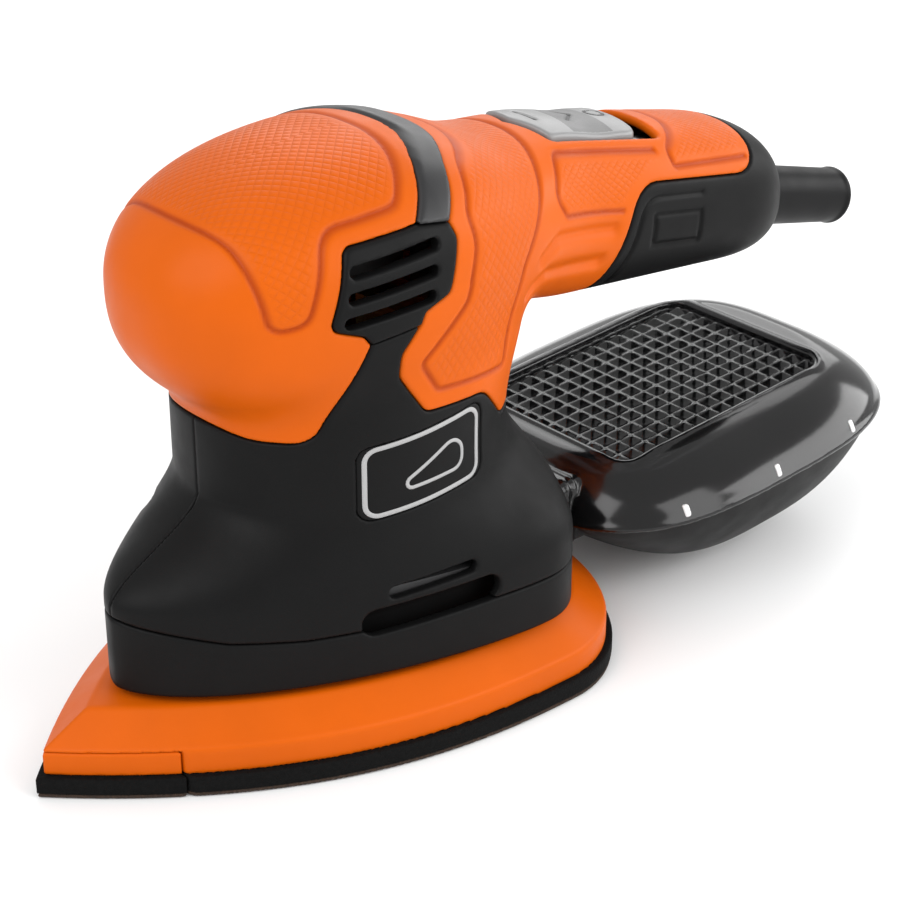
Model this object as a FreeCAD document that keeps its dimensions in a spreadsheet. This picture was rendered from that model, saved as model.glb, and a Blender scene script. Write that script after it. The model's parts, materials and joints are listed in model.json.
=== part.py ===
import FreeCAD, Part
import math
import os
import re

import Sketcher

# Detail mouse sander. Millimetres, +Z up. The origin is where the motor axis meets the sanding
# face. The pointed nose of the base lies toward -Y, the handle toward +Y, the tool's left is +X.

Vector = FreeCAD.Vector
doc = FreeCAD.newDocument("detail_mouse_sander")

SIZES = {
    # base, from the sanding face up
    "sheet_thick": 0.9, "pad_top": 4.6, "wall_top": 10.2, "platen_top": 16.0,
    "wall_inset": 1.5, "facet_inset": 9.3, "tip_split": 56.3, "tip_gap": 0.4,
    "base_nose": 80.0, "base_tail": 60.0, "base_half": 45.5, "base_wide_at": 27.0,
    # housing
    "wall": 2.4, "skirt_base": 17.5, "badge_depth": 0.9, "tower_low": 16.5, "tower_high": 96.0,
    # the tower's skirt, its narrower waist, and the heights between which one blends into the other
    "skirt_half": 39.5, "skirt_front": 59.5, "skirt_rear": 44.0, "skirt_wide_at": 23.0,
    "waist_half": 31.5, "waist_front": 37.0, "waist_rear": 34.5, "neck_rear": 41.0,
    "front_low": 36.0, "front_high": 55.0, "side_low": 34.0, "side_high": 54.0,
    "rear_low": 42.0, "rear_high": 62.0, "neck_high": 86.0,
    # the head, on the handle's axis
    "head_at": 3.0, "head_height": 97.5, "head_half": 33.0, "head_rise": 26.5, "head_drop": 31.0,
    "head_reach": 53.0, "head_fade": 35.0,
    # the handle: its axis falls toward the tail, with a saddle behind the head
    "axis_fall": 0.16, "axis_bend_at": 30.0, "axis_bend_soft": 10.0,
    "grip_half": 19.5, "grip_from": 62.0, "grip_reach": 20.2, "grip_reach_at": 55.0, "grip_taper": 0.062,
    "saddle_depth": 2.6, "saddle_at": 36.0, "saddle_long": 12.0,
    "tail_from": 100.0, "tail_long": 23.2, "tail_end": 121.0,
    # rotor, on the motor axis
    "shaft_radius": 4.0, "shaft_low": 20.0, "shaft_high": 103.0,
    "core_radius": 15.5, "core_low": 48.0, "core_high": 78.0,
    "coil_radius": 12.5, "coil_low": 44.0, "coil_high": 81.5,
    "commutator_radius": 9.0, "commutator_low": 84.0, "commutator_high": 94.0,
    "fan_radius": 27.0, "fan_low": 24.2, "fan_plate": 2.0, "fan_high": 31.5, "hub_radius": 9.0,
    "blade_thick": 1.4, "blade_inner": 8.5, "blade_outer": 26.0,
    "weight_radius": 22.0, "weight_low": 18.4,
    "throw": 0.8, "pin_radius": 4.0, "pin_low": 8.6,
    "screw_head_radius": 6.0, "screw_head_low": 5.6,
    # stator
    "field_radius": 26.0, "field_bore": 16.3, "field_low": 47.0, "field_high": 79.0,
    "winding_low": 43.5, "winding_high": 82.5, "winding_outer": 23.5, "winding_inner": 17.0,
    # ball bearings
    "bearing_radius": 11.0, "bearing_height": 7.0, "lower_bearing_low": 34.6,
    "upper_bearing_low": 96.5, "platen_bearing_low": 8.7, "running": 0.03,
    "plate_low": 33.6, "plate_high": 36.2, "plate_hub": 14.0, "plate_hub_high": 41.8,
    "bracket_low": 95.0, "bracket_thick": 2.0, "post_inner": 23.8, "post_outer": 25.5, "arm_inner": 12.5,
    "bar_half": 5.0,
    # brushes
    "brush_wide": 6.0, "brush_tall": 5.0, "brush_near": 9.1, "brush_far": 17.0,
    "brush_height": 89.0, "holder_far": 25.0, "holder_skin": 1.2, "spring_radius": 2.2,
    # legs between platen and bearing plate
    "leg_radius": 4.5, "front_leg_x": 12.0, "front_leg_y": 40.0, "rear_leg_x": 20.0,
    "rear_leg_y": 34.0,
    # switch
    "button_half": 10.6, "button_front": 46.4, "button_rear": 76.0, "slot_rear": 81.6,
    "switch_half": 8.0, "switch_front": 56.0, "switch_rear": 78.0, "switch_low": 82.5,
    "switch_high": 98.0,
    # dust box
    "box_front": 46.0, "box_rear": 149.0, "box_half": 42.0, "box_floor": 4.0, "box_seam": 28.0,
    "box_top": 40.5, "box_level_at": 100.0, "box_slope": 4.0, "box_skin": 2.0,
    "tray_lean": 8.0, "tray_front_lean": 25.0, "tray_round": 12.0, "lid_lean": 13.0, "lid_front_lean": 8.0,
    "duct_half": 15.0, "duct_low": 20.4, "duct_high": 31.0,
    "duct_front": 37.0, "duct_rear": 53.0, "duct_skin": 1.6, "collar_half": 20.0,
    "collar_low": 17.8, "collar_high": 34.8, "collar_front": 45.8, "filter_half": 24.0,
    "filter_front": 62.0, "filter_rear": 128.0, "filter_low": 26.4, "filter_high": 33.6,
    "seal_front": 44.1, "seal_rear": 45.3, "tab_thick": 1.6, "tab_rear": 47.4, "tab_low": 26.0,
    "tab_high": 30.0,
    # cord boot
    "boot_front": 112.5, "boot_height": 81.0, "boot_length": 45.0, "boot_root_radius": 7.5,
    "boot_end_radius": 6.6, "boot_bore": 3.5, "boot_flange": 9.6, "boot_flange_thick": 2.5,
    "boot_rim": 0.4, "boot_rim_long": 2.4, "boot_slope": 14.0,
    "clamp_half": 11.0, "clamp_front": 101.5, "clamp_rear": 108.5, "clamp_low": 76.6, "clamp_high": 79.2,
    "clamp_screw_low": 73.0, "clamp_screw_x": 8.0,
    "screw_shank": 1.4, "screw_head": 2.8,
}

sheet = doc.addObject("Spreadsheet::Sheet", "Sizes")
for row, (alias, value) in enumerate(SIZES.items(), start=1):
    sheet.set(f"A{row}", alias)
    sheet.set(f"B{row}", str(value))
    sheet.setAlias(f"B{row}", alias)
doc.recompute()

SUBPARTS = []


def size(alias):
    """A cell's value in millimetres."""
    return float(sheet.get(alias))


def cells(text):
    """An expression in cell names, with each name pointed at the sheet."""
    return re.sub(r"[a-z][a-z_]+", lambda word: "Sizes." + word.group(0), text)


def amount(text):
    """The value of a sum of cell names, worked out by the sheet's own expression engine."""
    return float(sheet.evalExpression(cells(text).replace("Sizes.", "")))


def bind(item, **sizes):
    for name, text in sizes.items():
        item.setExpression(name.replace("__", "."), cells(text))


def subpart(item, name):
    item.Label = name
    SUBPARTS.append(item)
    return item


def made(name, shape):
    """A sub-part whose free-form shape comes from lofts and side cuts."""
    item = doc.addObject("Part::Feature", name)
    item.Shape = shape
    item.Placement = FreeCAD.Placement()
    return subpart(item, name)


# ---- primitives bound to the sheet ----

def cylinder(name, radius, low, high, x="0", y="0"):
    item = doc.addObject("Part::Cylinder", name)
    bind(item, Radius=radius, Height=f"({high}) - ({low})",
         Placement__Base__x=x, Placement__Base__y=y, Placement__Base__z=low)
    return item


def block(name, x_low, x_high, y_low, y_high, z_low, z_high):
    item = doc.addObject("Part::Box", name)
    bind(item, Length=f"({x_high}) - ({x_low})", Width=f"({y_high}) - ({y_low})",
         Height=f"({z_high}) - ({z_low})", Placement__Base__x=x_low,
         Placement__Base__y=y_low, Placement__Base__z=z_low)
    return item


def cut(name, base, tool):
    item = doc.addObject("Part::Cut", name)
    item.Base = base
    item.Tool = tool
    return item


def union(name, *items):
    item = doc.addObject("Part::MultiFuse", name)
    item.Shapes = list(items)
    return item


# ---- PartDesign bodies built from ring sketches ----

def plane_of(body, role):
    return next(item for item in body.Origin.OriginFeatures if item.Role == role)


def ring_sketch(body, name, low, radii):
    """Circles about the motor axis in a level sketch at the height low."""
    sketch = body.newObject("Sketcher::SketchObject", name)
    sketch.AttachmentSupport = (plane_of(body, "XY_Plane"), [""])
    sketch.MapMode = "FlatFace"
    bind(sketch, AttachmentOffset__Base__z=low)
    for radius in radii:
        start = amount(radius)
        circle = sketch.addGeometry(Part.Circle(Vector(0, 0, 0), Vector(0, 0, 1), start))
        sketch.addConstraint(Sketcher.Constraint("Coincident", circle, 3, -1, 1))
        index = sketch.addConstraint(Sketcher.Constraint("Radius", circle, start))
        sketch.setExpression(f"Constraints[{index}]", cells(radius))
    return sketch


def turned(name, steps):
    """A turned piece: each step is (low, high, outer radius, inner radius or None)."""
    body = doc.addObject("PartDesign::Body", name)
    for number, (low, high, outer, inner) in enumerate(steps):
        radii = [outer] if inner is None else [outer, inner]
        sketch = ring_sketch(body, f"{name}_outline_{number}", low, radii)
        pad = body.newObject("PartDesign::Pad", f"{name}_step_{number}")
        pad.Profile = sketch
        bind(pad, Length=f"({high}) - ({low})")
    return body


# ---- free-form outlines ----

def power(value, exponent):
    return math.copysign(abs(value) ** (2.0 / exponent), value)


def closed_wire(points):
    curve = Part.BSplineCurve()
    curve.interpolate(Points=points, PeriodicFlag=True)
    return Part.Wire([curve.toShape()])


def turn_steps(count=32):
    return [2 * math.pi * (step + 0.5) / count for step in range(count)]


def side_prism(corners, x_low=-1.0, x_high=70.0):
    """A prism along X over a side view. A corner is (y, z, arc radius), and radius 0 is sharp."""
    places = [Vector(x_low, y, z) for y, z, radius in corners]
    edges = []
    arcs = []
    for index, here in enumerate(places):
        come = (here - places[index - 1]).normalize()
        leave = (places[(index + 1) % len(places)] - here).normalize()
        radius = corners[index][2]
        reach = radius * math.tan(come.getAngle(leave) / 2)
        arcs.append((here - come * reach, here + leave * reach))
        if radius > 0:
            inward = (leave - come).normalize()
            middle = here + inward * (math.hypot(radius, reach) - radius)
            edges.append(Part.Arc(arcs[-1][0], middle, arcs[-1][1]).toShape())
    for index in range(len(arcs)):
        edges.append(Part.LineSegment(arcs[index - 1][1], arcs[index][0]).toShape())
    face = Part.Face(Part.Wire(Part.__sortEdges__(edges)))
    return face.extrude(Vector(x_high - x_low, 0, 0))


def mirrored(shape):
    return shape.mirror(Vector(0, 0, 0), Vector(1, 0, 0))


def box_shape(x_low, x_high, y_low, y_high, z_low, z_high):
    return Part.makeBox(x_high - x_low, y_high - y_low, z_high - z_low, Vector(x_low, y_low, z_low))


def blend(value, low, high):
    """0 below low, 1 above high, and a smooth change between."""
    share = min(max((value - low) / (high - low), 0.0), 1.0)
    return share * share * (3 - 2 * share)


def between(first, second, share):
    return first + (second - first) * share


SKIRT_FULLNESS = (1.62, 2.4)
WAIST_FULLNESS = (2.0, 2.3)
HEAD_FULLNESS = 2.3
HEAD_OVAL = 2.4
GRIP_OVAL = 2.3
TAIL_FULLNESS = 3.0


def tower_section(height):
    """The tower's half width, front, rear, widest place, and front and rear fullness."""
    ahead = blend(height, size("front_low"), size("front_high"))
    aside = blend(height, size("side_low"), size("side_high"))
    behind = blend(height, size("rear_low"), size("rear_high"))
    neck = blend(height, size("rear_high"), size("neck_high"))
    rear = between(size("skirt_rear"), size("waist_rear"), behind)
    return (between(size("skirt_half"), size("waist_half"), aside),
            -between(size("skirt_front"), size("waist_front"), ahead),
            rear + (size("neck_rear") - size("waist_rear")) * neck,
            size("skirt_wide_at") * (1 - ahead),
            between(SKIRT_FULLNESS[0], WAIST_FULLNESS[0], ahead),
            between(SKIRT_FULLNESS[1], WAIST_FULLNESS[1], ahead))


def handle_section(place):
    """The handle's middle height, half width, rise, drop and fullness at a place along Y."""
    past_bend = place - size("axis_bend_at")
    fall = size("axis_fall") * (math.hypot(past_bend, size("axis_bend_soft")) + past_bend) / 2
    saddle = size("saddle_depth") * math.exp(-((place - size("saddle_at")) / size("saddle_long")) ** 2)
    taper = size("grip_taper") * (place - size("grip_reach_at"))
    reach = size("grip_reach") - taper - saddle
    head = 1 - blend(place, size("head_at"), size("head_fade"))
    at_head = size("grip_reach") - size("grip_taper") * (size("head_at") - size("grip_reach_at"))
    past_tail = max(place - size("tail_from"), 0.0) / size("tail_long")
    tail = (1 - past_tail ** TAIL_FULLNESS) ** (1 / TAIL_FULLNESS)
    half = between(size("head_half"), size("grip_half"), blend(place, size("head_at"), size("grip_from")))
    return (size("head_height") - fall, half * tail,
            (reach + (size("head_rise") - at_head) * head) * tail,
            (reach + (size("head_drop") - at_head) * head) * tail, between(GRIP_OVAL, HEAD_OVAL, head))


TOWER_STATIONS = 13
HEAD_STATIONS = 7
HANDLE_STATIONS = 10
TAIL_STATIONS = 4


def half_wire(points):
    """An open curve from the back of x = 0 round to its front, closed by a straight line at x = 0."""
    curve = Part.BSplineCurve()
    curve.interpolate(Points=points)
    start, finish = points[0], points[-1]
    return Part.Wire([curve.toShape(), Part.LineSegment(finish, start).toShape()])


def half_steps(count=14):
    return [math.pi * (step / count - 0.5) for step in range(count + 1)]


def tower_solid(inset, low, high):
    """The +X half of the motor tower, with its sides moved in by the inset."""
    wires = []
    for step in range(TOWER_STATIONS + 1):
        height = between(size("tower_low"), size("tower_high"), step / TOWER_STATIONS)
        half, front, rear, wide, front_full, rear_full = tower_section(height)
        points = []
        for angle in half_steps():
            full = front_full if angle < 0 else rear_full
            reach = (wide - front - inset) if angle < 0 else (rear - inset - wide)
            points.append(Vector((half - inset) * abs(power(math.cos(angle), full)),
                                 wide + reach * power(math.sin(angle), full), height))
        wires.append(half_wire(points))
    solid = Part.makeLoft(wires, True, False)
    return solid.common(box_shape(-1, 70, -90, 90, low, high))


def handle_solid(inset):
    """The +X half of the head and handle, with its sides moved in by the inset."""
    first = size("head_at")
    rows = []
    middle, half, rise, drop, full = handle_section(first)
    for step in range(HEAD_STATIONS):
        cut_at = math.sin(math.pi / 2 * (0.95 - 0.77 * step / (HEAD_STATIONS - 1)))
        shrink = (1 - cut_at ** HEAD_FULLNESS) ** (1 / HEAD_FULLNESS)
        rows.append((first - (size("head_reach") - inset) * cut_at, middle, (half - inset) * shrink,
                     (rise - inset) * shrink, (drop - inset) * shrink, full))
    places = [between(first, size("tail_from"), step / HANDLE_STATIONS) for step in range(HANDLE_STATIONS + 1)]
    for step in range(1, TAIL_STATIONS + 1):
        share = math.sin(math.pi / 2 * step / TAIL_STATIONS)
        places.append(between(size("tail_from"), size("tail_end"), share))
    for place in places:
        middle, half, rise, drop, full = handle_section(place)
        rows.append((place, middle, half - inset, rise - inset, drop - inset, full))
    wires = []
    for place, middle, half, rise, drop, full in rows:
        points = []
        for angle in half_steps():
            reach = rise if angle > 0 else drop
            points.append(Vector(half * abs(power(math.cos(angle), full)), place,
                                 middle + reach * power(math.sin(angle), full)))
        wires.append(half_wire(points))
    solid = Part.makeLoft(wires, True, False)
    if inset > 0:
        solid = solid.common(box_shape(-1, 70, -90, size("tail_end") - inset, 0, 140))
    return solid


# ---- housing shells ----

# Seams of the shells in the side view. Each corner is (y, z, arc radius).
RING_SEAM = [(-66.0, 36.5, 0), (-44.0, 28.5, 80), (52.0, 28.5, 0)]
GRIP_FOOT = [(-66.0, 78.0, 0), (-41.0, 74.0, 20), (-33.5, 70.0, 6), (-25.0, 70.0, 5), (-16.5, 91.5, 0)]
GRILLE_FRONT = [(-16.5, 91.5, 0), (-18.0, 93.5, 2), (-25.0, 96.0, 2), (-20.0, 111.0, 2.5), (-3.5, 112.0, 0)]
GRILLE_REAR = [(4.0, 111.0, 0), (5.0, 108.0, 2), (2.0, 98.0, 3), (-4.5, 95.5, 1.5), (-5.5, 93.0, 0)]
BAND_FRONT = [(-3.5, 112.0, 0), (4.5, 121.0, 10), (10.5, 123.0, 2), (12.0, 132.0, 0)]
BAND_REAR = [(4.0, 111.0, 0), (10.5, 119.0, 8), (16.5, 121.5, 3), (20.0, 132.0, 0)]
ARM_FOOT = [(-5.5, 93.0, 0), (-9.5, 87.5, 3.5), (-9.5, 82.5, 3.5), (-3.0, 73.0, 2.5), (13.5, 72.0, 6),
            (21.0, 63.5, 2), (52.0, 63.5, 0)]
COVER_LINE = [(58.5, 60.0, 0), (60.0, 78.0, 30), (68.5, 99.5, 7), (109.0, 92.5, 7.5), (110.0, 132.0, 0)]

RING_REGION = RING_SEAM + [(52.0, 10.0, 0), (-66.0, 10.0, 0)]
GRIP_REGION = GRIP_FOOT + GRILLE_FRONT[1:] + BAND_FRONT[1:] + [(-66.0, 132.0, 0)]
BAND_REGION = BAND_FRONT + BAND_REAR[::-1]
GRILLE_REGION = GRILLE_FRONT + GRILLE_REAR
HOUSING_REGION = RING_SEAM + ARM_FOOT[::-1] + GRIP_FOOT[::-1]
HANDLE_REGION = ARM_FOOT + COVER_LINE + BAND_REAR[::-1] + GRILLE_REAR[1:-1]
COVER_REGION = COVER_LINE + [(140.0, 132.0, 0), (140.0, 60.0, 0)]

outer = tower_solid(0.0, size("skirt_base"), size("tower_high")).fuse(handle_solid(0.0))
inner = tower_solid(size("wall"), 0.0, size("tower_high")).fuse(handle_solid(size("wall")))
near_shell = outer.cut(inner)

# Screws run across the tool; each is the (y, z) of its boss.
SCREWS = {"housing": [(-36.0, 44.0), (35.5, 48.0)], "palm_grip": [(-32.0, 98.0)],
          "handle": [(53.0, 79.5), (88.0, 99.6)]}
BOSS_RADIUS = 3.8
HEAD_SEAT = 11.0
SCREW_REACH = 7.0
HEAD_THICK = 2.2


def across(radius, x_low, x_high, place):
    return Part.makeCylinder(radius, x_high - x_low, Vector(x_low, place[0], place[1]), Vector(1, 0, 0))


def screw_shape(place):
    head = across(size("screw_head"), -HEAD_SEAT - HEAD_THICK, -HEAD_SEAT, place)
    shank = across(size("screw_shank"), -HEAD_SEAT, SCREW_REACH, place)
    return head.fuse(shank).removeSplitter()


def with_bosses(piece, places):
    """The left and right halves of a shell, each with its screw bosses, drilled."""
    for place in places:
        piece = piece.fuse(across(BOSS_RADIUS, 0.0, 60.0, place).common(inner))
    left, right = piece, mirrored(piece)
    for place in places:
        left = left.cut(screw_shape(place))
        right = right.cut(screw_shape(place))
        right = right.cut(across(size("screw_head") + 0.3, -60.0, -HEAD_SEAT - HEAD_THICK, place))
    return left, right


def both_sides(near):
    """One piece that runs across the middle plane, from its +X half."""
    return near.fuse(mirrored(near)).removeSplitter()


def slot_prism(low_end, high_end, tall):
    """A round-ended slot through the side walls, from one (y, z) end to the other."""
    reach_y = high_end[0] - low_end[0]
    reach_z = high_end[1] - low_end[1]
    length = math.hypot(reach_y, reach_z)
    side_y = -reach_z / length * tall / 2
    side_z = reach_y / length * tall / 2
    corners = [(low_end[0] - side_y, low_end[1] - side_z, 0), (high_end[0] - side_y, high_end[1] - side_z, 0),
               (high_end[0] + side_y, high_end[1] + side_z, 0), (low_end[0] + side_y, low_end[1] + side_z, 0)]
    prism = side_prism(corners, 0.0, 70.0)
    for end in (low_end, high_end):
        prism = prism.fuse(across(tall / 2, 0.0, 70.0, end))
    return prism


SIDE_SLOTS = [((-16.5, 30.0), (8.0, 31.5), 6.0), ((-12.5, 36.0), (4.5, 37.5), 2.6)]
LOUVRE_PITCH = 4.8
LOUVRES = [((-19.0 - step, 106.5 - LOUVRE_PITCH * step), (-1.0 - step, 108.0 - LOUVRE_PITCH * step), 2.4)
           for step in range(3)]
BADGE = [(-18.0, 51.5, 3), (-18.0, 68.0, 3), (12.5, 71.0, 3), (12.5, 54.0, 3)]

duct_hole = box_shape(-size("duct_half"), size("duct_half"), 36.0, 60.0, size("duct_low"), size("duct_high"))

badge_skin = tower_solid(0.0, 40.0, 80.0).cut(tower_solid(size("badge_depth"), 39.0, 81.0))
badge_near = badge_skin.common(side_prism(BADGE, 1.0, 70.0))

near_housing = near_shell.common(side_prism(HOUSING_REGION)).cut(badge_near)
near_ring = near_shell.common(side_prism(RING_REGION))
near_grille = near_shell.common(side_prism(GRILLE_REGION))
for low_end, high_end, tall in SIDE_SLOTS:
    near_housing = near_housing.cut(slot_prism(low_end, high_end, tall))
    near_ring = near_ring.cut(slot_prism(low_end, high_end, tall))
for low_end, high_end, tall in LOUVRES:
    near_grille = near_grille.cut(slot_prism(low_end, high_end, tall))
near_grip = near_shell.common(side_prism(GRIP_REGION))
near_handle = near_shell.common(side_prism(HANDLE_REGION))
slot_hole = box_shape(-size("button_half") - 0.4, size("button_half") + 0.4, size("button_front") - 0.5,
                      size("slot_rear"), 98.0, 130.0)
near_handle = near_handle.cut(slot_hole)
near_housing = near_housing.cut(duct_hole)

for name, near in (("housing", near_housing), ("palm_grip", near_grip), ("handle", near_handle)):
    left_half, right_half = with_bosses(near, SCREWS[name])
    made(f"{name}_left", left_half)
    made(f"{name}_right", right_half)
made("vent_grille_left", near_grille)
made("vent_grille_right", mirrored(near_grille))
made("badge_left", badge_near)
made("badge_right", mirrored(badge_near))
made("head_band", both_sides(near_shell.common(side_prism(BAND_REGION))))
made("skirt_ring", both_sides(near_ring.cut(duct_hole)))
made("housing_screws", Part.Compound([screw_shape(place) for group in SCREWS.values() for place in group]))

# ---- cord boot ----

slope = math.radians(size("boot_slope"))
boot_axis = Vector(0, math.cos(slope), -math.sin(slope))
boot_start = Vector(0, size("boot_front"), size("boot_height"))
boot_end = boot_start + boot_axis * size("boot_length")
sleeve = Part.makeCone(size("boot_root_radius"), size("boot_end_radius"), size("boot_length"),
                       boot_start, boot_axis)
flange = Part.makeCylinder(size("boot_flange"), size("boot_flange_thick"), boot_start, boot_axis)
rim = Part.makeCylinder(size("boot_end_radius") + size("boot_rim"), size("boot_rim_long"), boot_end, -boot_axis)
cord_bore = Part.makeCylinder(size("boot_bore"), size("boot_length"), boot_start, boot_axis)
rear_cover = both_sides(near_shell.common(side_prism(COVER_REGION)))
made("rear_cover", rear_cover.cut(sleeve.fuse(flange)))
made("cord_boot", sleeve.fuse(rim).fuse(flange).cut(cord_bore).removeSplitter())

subpart(block("clamp_bar", "-clamp_half", "clamp_half", "clamp_front", "clamp_rear", "clamp_low",
              "clamp_high"), "cord_clamp")
clamp_middle = "(clamp_front + clamp_rear) / 2"
clamp_screw_left = cylinder("clamp_screw_left", "screw_shank", "clamp_screw_low", "clamp_low",
                            "clamp_screw_x", clamp_middle)
clamp_screw_right = cylinder("clamp_screw_right", "screw_shank", "clamp_screw_low", "clamp_low",
                             "-clamp_screw_x", clamp_middle)
subpart(union("clamp_screws", clamp_screw_left, clamp_screw_right), "cord_clamp_screws")

# ---- slide switch ----

button_zone = box_shape(-1.0, size("button_half"), size("button_front"), size("button_rear"), 96.0, 130.0)
button = both_sides(handle_solid(-0.5).common(button_zone).cut(handle_solid(2.6)))
RIB_COUNT = 3
RIB_PITCH = 2.0
RIB_WIDE = 0.8
for step in range(RIB_COUNT):
    place = size("button_front") + 3.1 + RIB_PITCH * step
    groove = box_shape(-1.0, 8.0, place, place + RIB_WIDE, 96.0, 130.0).cut(handle_solid(-0.1))
    button = button.cut(both_sides(groove))
made("switch_button", button)
made("switch_link", both_sides(box_shape(-1.0, 4.0, 58.0, 64.0, 100.5, 112.0).common(handle_solid(2.6))))
subpart(block("switch_case", "-switch_half", "switch_half", "switch_front", "switch_rear",
              "switch_low", "switch_high"), "switch_body")

# ---- motor ----

subpart(turned("field_core_body", [("field_low", "field_high", "field_radius", "field_bore")]), "field_core")
subpart(union("field_windings_pair",
              turned("winding_below", [("winding_low", "field_low", "winding_outer", "winding_inner")]),
              turned("winding_above", [("field_high", "winding_high", "winding_outer", "winding_inner")])),
        "field_windings")
subpart(turned("armature_body", [("coil_low", "core_low", "coil_radius", "shaft_radius"),
                                 ("core_low", "core_high", "core_radius", "shaft_radius"),
                                 ("core_high", "coil_high", "coil_radius", "shaft_radius")]), "armature")
subpart(turned("commutator_body", [("commutator_low", "commutator_high", "commutator_radius",
                                    "shaft_radius")]), "commutator")
subpart(turned("shaft_body", [("shaft_low", "shaft_high", "shaft_radius", None)]), "motor_shaft")
BEARINGS = {"lower_bearing": "lower_bearing_low", "upper_bearing": "upper_bearing_low"}
for name, low in BEARINGS.items():
    subpart(turned(name + "_body", [(low, f"{low} + bearing_height", "bearing_radius",
                                     "shaft_radius + running")]), name)

# the plate that carries the lower bearing fills the tower just under the motor
plate_zone = tower_solid(size("wall") + 0.3, size("plate_low"), size("plate_high"))
plate_hub = Part.makeCylinder(size("plate_hub"), size("plate_hub_high") - size("plate_low"),
                              Vector(0, 0, size("plate_low")))
plate_bore = Part.makeCylinder(size("bearing_radius"), 20.0, Vector(0, 0, size("lower_bearing_low")))
shaft_way = Part.makeCylinder(size("shaft_radius") + 1.5, 20.0, Vector(0, 0, 30.0))
bearing_plate = both_sides(plate_zone).fuse(plate_hub).cut(plate_bore).cut(shaft_way)
made("bearing_plate", bearing_plate.removeSplitter())

# the bracket over the motor carries the upper bearing and stands on the field core
bracket_foot = turned("bracket_foot", [("field_high", "field_high + bracket_thick", "field_radius",
                                        "winding_outer + 0.2")])
bracket_cup = turned("bracket_cup", [("bracket_low", "upper_bearing_low + bearing_height",
                                      "bearing_radius + 2.5", "bearing_radius")])
bracket_lip = turned("bracket_lip", [("bracket_low", "upper_bearing_low", "bearing_radius",
                                      "shaft_radius + 2")])
BRACKET_SPANS = {
    "front": ("-post_outer", "-post_inner", "-post_outer", "-arm_inner"),
    "rear": ("post_inner", "post_outer", "arm_inner", "post_outer"),
}
bracket_bars = []
for side, (post_low, post_high, arm_low, arm_high) in BRACKET_SPANS.items():
    bracket_bars.append(block(f"bracket_post_{side}", "-bar_half", "bar_half", post_low, post_high,
                              "field_high", "upper_bearing_low"))
    bracket_bars.append(block(f"bracket_arm_{side}", "-bar_half", "bar_half", arm_low, arm_high,
                              "bracket_low", "upper_bearing_low + 1.5"))
subpart(union("bracket", bracket_foot, bracket_cup, bracket_lip, *bracket_bars), "upper_bracket")

# ---- brushes ----


def sideways(name, sign, near, far, half_wide, half_tall):
    """A block beside the motor axis, from near to far along X, on the left or its mirror on the right."""
    x_low, x_high = (near, far) if sign > 0 else (f"-({far})", f"-({near})")
    return block(name, x_low, x_high, f"-({half_wide})", half_wide, f"brush_height - ({half_tall})",
                 f"brush_height + ({half_tall})")


def sideways_tube(sign, outer_radius, inner_radius, near, far):
    start = Vector(sign * near, 0, size("brush_height"))
    way = Vector(sign, 0, 0)
    tube = Part.makeCylinder(outer_radius, far - near, start, way)
    return tube.cut(Part.makeCylinder(inner_radius, far - near, start, way))


HALF_WIDE = "brush_wide / 2"
HALF_TALL = "brush_tall / 2"
for side, sign in (("left", 1), ("right", -1)):
    subpart(sideways(f"brush_{side}", sign, "brush_near", "brush_far", HALF_WIDE, HALF_TALL),
            f"carbon_brush_{side}")
    case = sideways(f"holder_case_{side}", sign, "brush_near + 2", "holder_far", HALF_WIDE + " + holder_skin",
                    HALF_TALL + " + holder_skin")
    hollow = sideways(f"holder_hollow_{side}", sign, "brush_near", "holder_far - holder_skin", HALF_WIDE,
                      HALF_TALL)
    subpart(cut(f"holder_{side}", case, hollow), f"brush_holder_{side}")
    made(f"brush_spring_{side}", sideways_tube(sign, size("spring_radius"), size("spring_radius") - 0.7,
                                               size("brush_far"), size("holder_far") - size("holder_skin")))

# ---- fan, counterweight and eccentric ----

fan = turned("fan_body", [("fan_low", "fan_low + fan_plate", "fan_radius", "shaft_radius"),
                          ("fan_low + fan_plate", "fan_high", "hub_radius", "shaft_radius")])
blade_sketch = fan.newObject("Sketcher::SketchObject", "blade_outline")
blade_sketch.AttachmentSupport = (plane_of(fan, "XY_Plane"), [""])
blade_sketch.MapMode = "FlatFace"
bind(blade_sketch, AttachmentOffset__Base__z="fan_low + fan_plate")
blade_corners = [Vector(size("blade_inner"), 0, 0), Vector(size("blade_outer"), 0, 0),
                 Vector(size("blade_outer"), size("blade_thick"), 0),
                 Vector(size("blade_inner"), size("blade_thick"), 0)]
for index in range(4):
    blade_sketch.addGeometry(Part.LineSegment(blade_corners[index], blade_corners[(index + 1) % 4]))
for index in range(4):
    blade_sketch.addConstraint(Sketcher.Constraint("Coincident", index, 2, (index + 1) % 4, 1))
for index in (0, 2):
    blade_sketch.addConstraint(Sketcher.Constraint("Horizontal", index))
for index in (1, 3):
    blade_sketch.addConstraint(Sketcher.Constraint("Vertical", index))
blade_sketch.addConstraint(Sketcher.Constraint("PointOnObject", 0, 1, -1))
for kind, geometry, value in (("blade_inner", (-1, 1, 0, 1), "blade_inner"),
                              ("blade_outer", (-1, 1, 0, 2), "blade_outer")):
    index = blade_sketch.addConstraint(Sketcher.Constraint("DistanceX", *geometry, size(value)))
    blade_sketch.setExpression(f"Constraints[{index}]", cells(value))
index = blade_sketch.addConstraint(Sketcher.Constraint("DistanceY", 1, 1, 1, 2, size("blade_thick")))
blade_sketch.setExpression(f"Constraints[{index}]", cells("blade_thick"))
blade = fan.newObject("PartDesign::Pad", "blade")
blade.Profile = blade_sketch
bind(blade, Length="fan_high - fan_low - fan_plate")
doc.recompute()
blades = fan.newObject("PartDesign::PolarPattern", "blades")
blades.Originals = [blade]
blades.Axis = (blade_sketch, ["N_Axis"])
blades.Angle = 360
blades.Occurrences = 12
fan.Tip = blades
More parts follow.
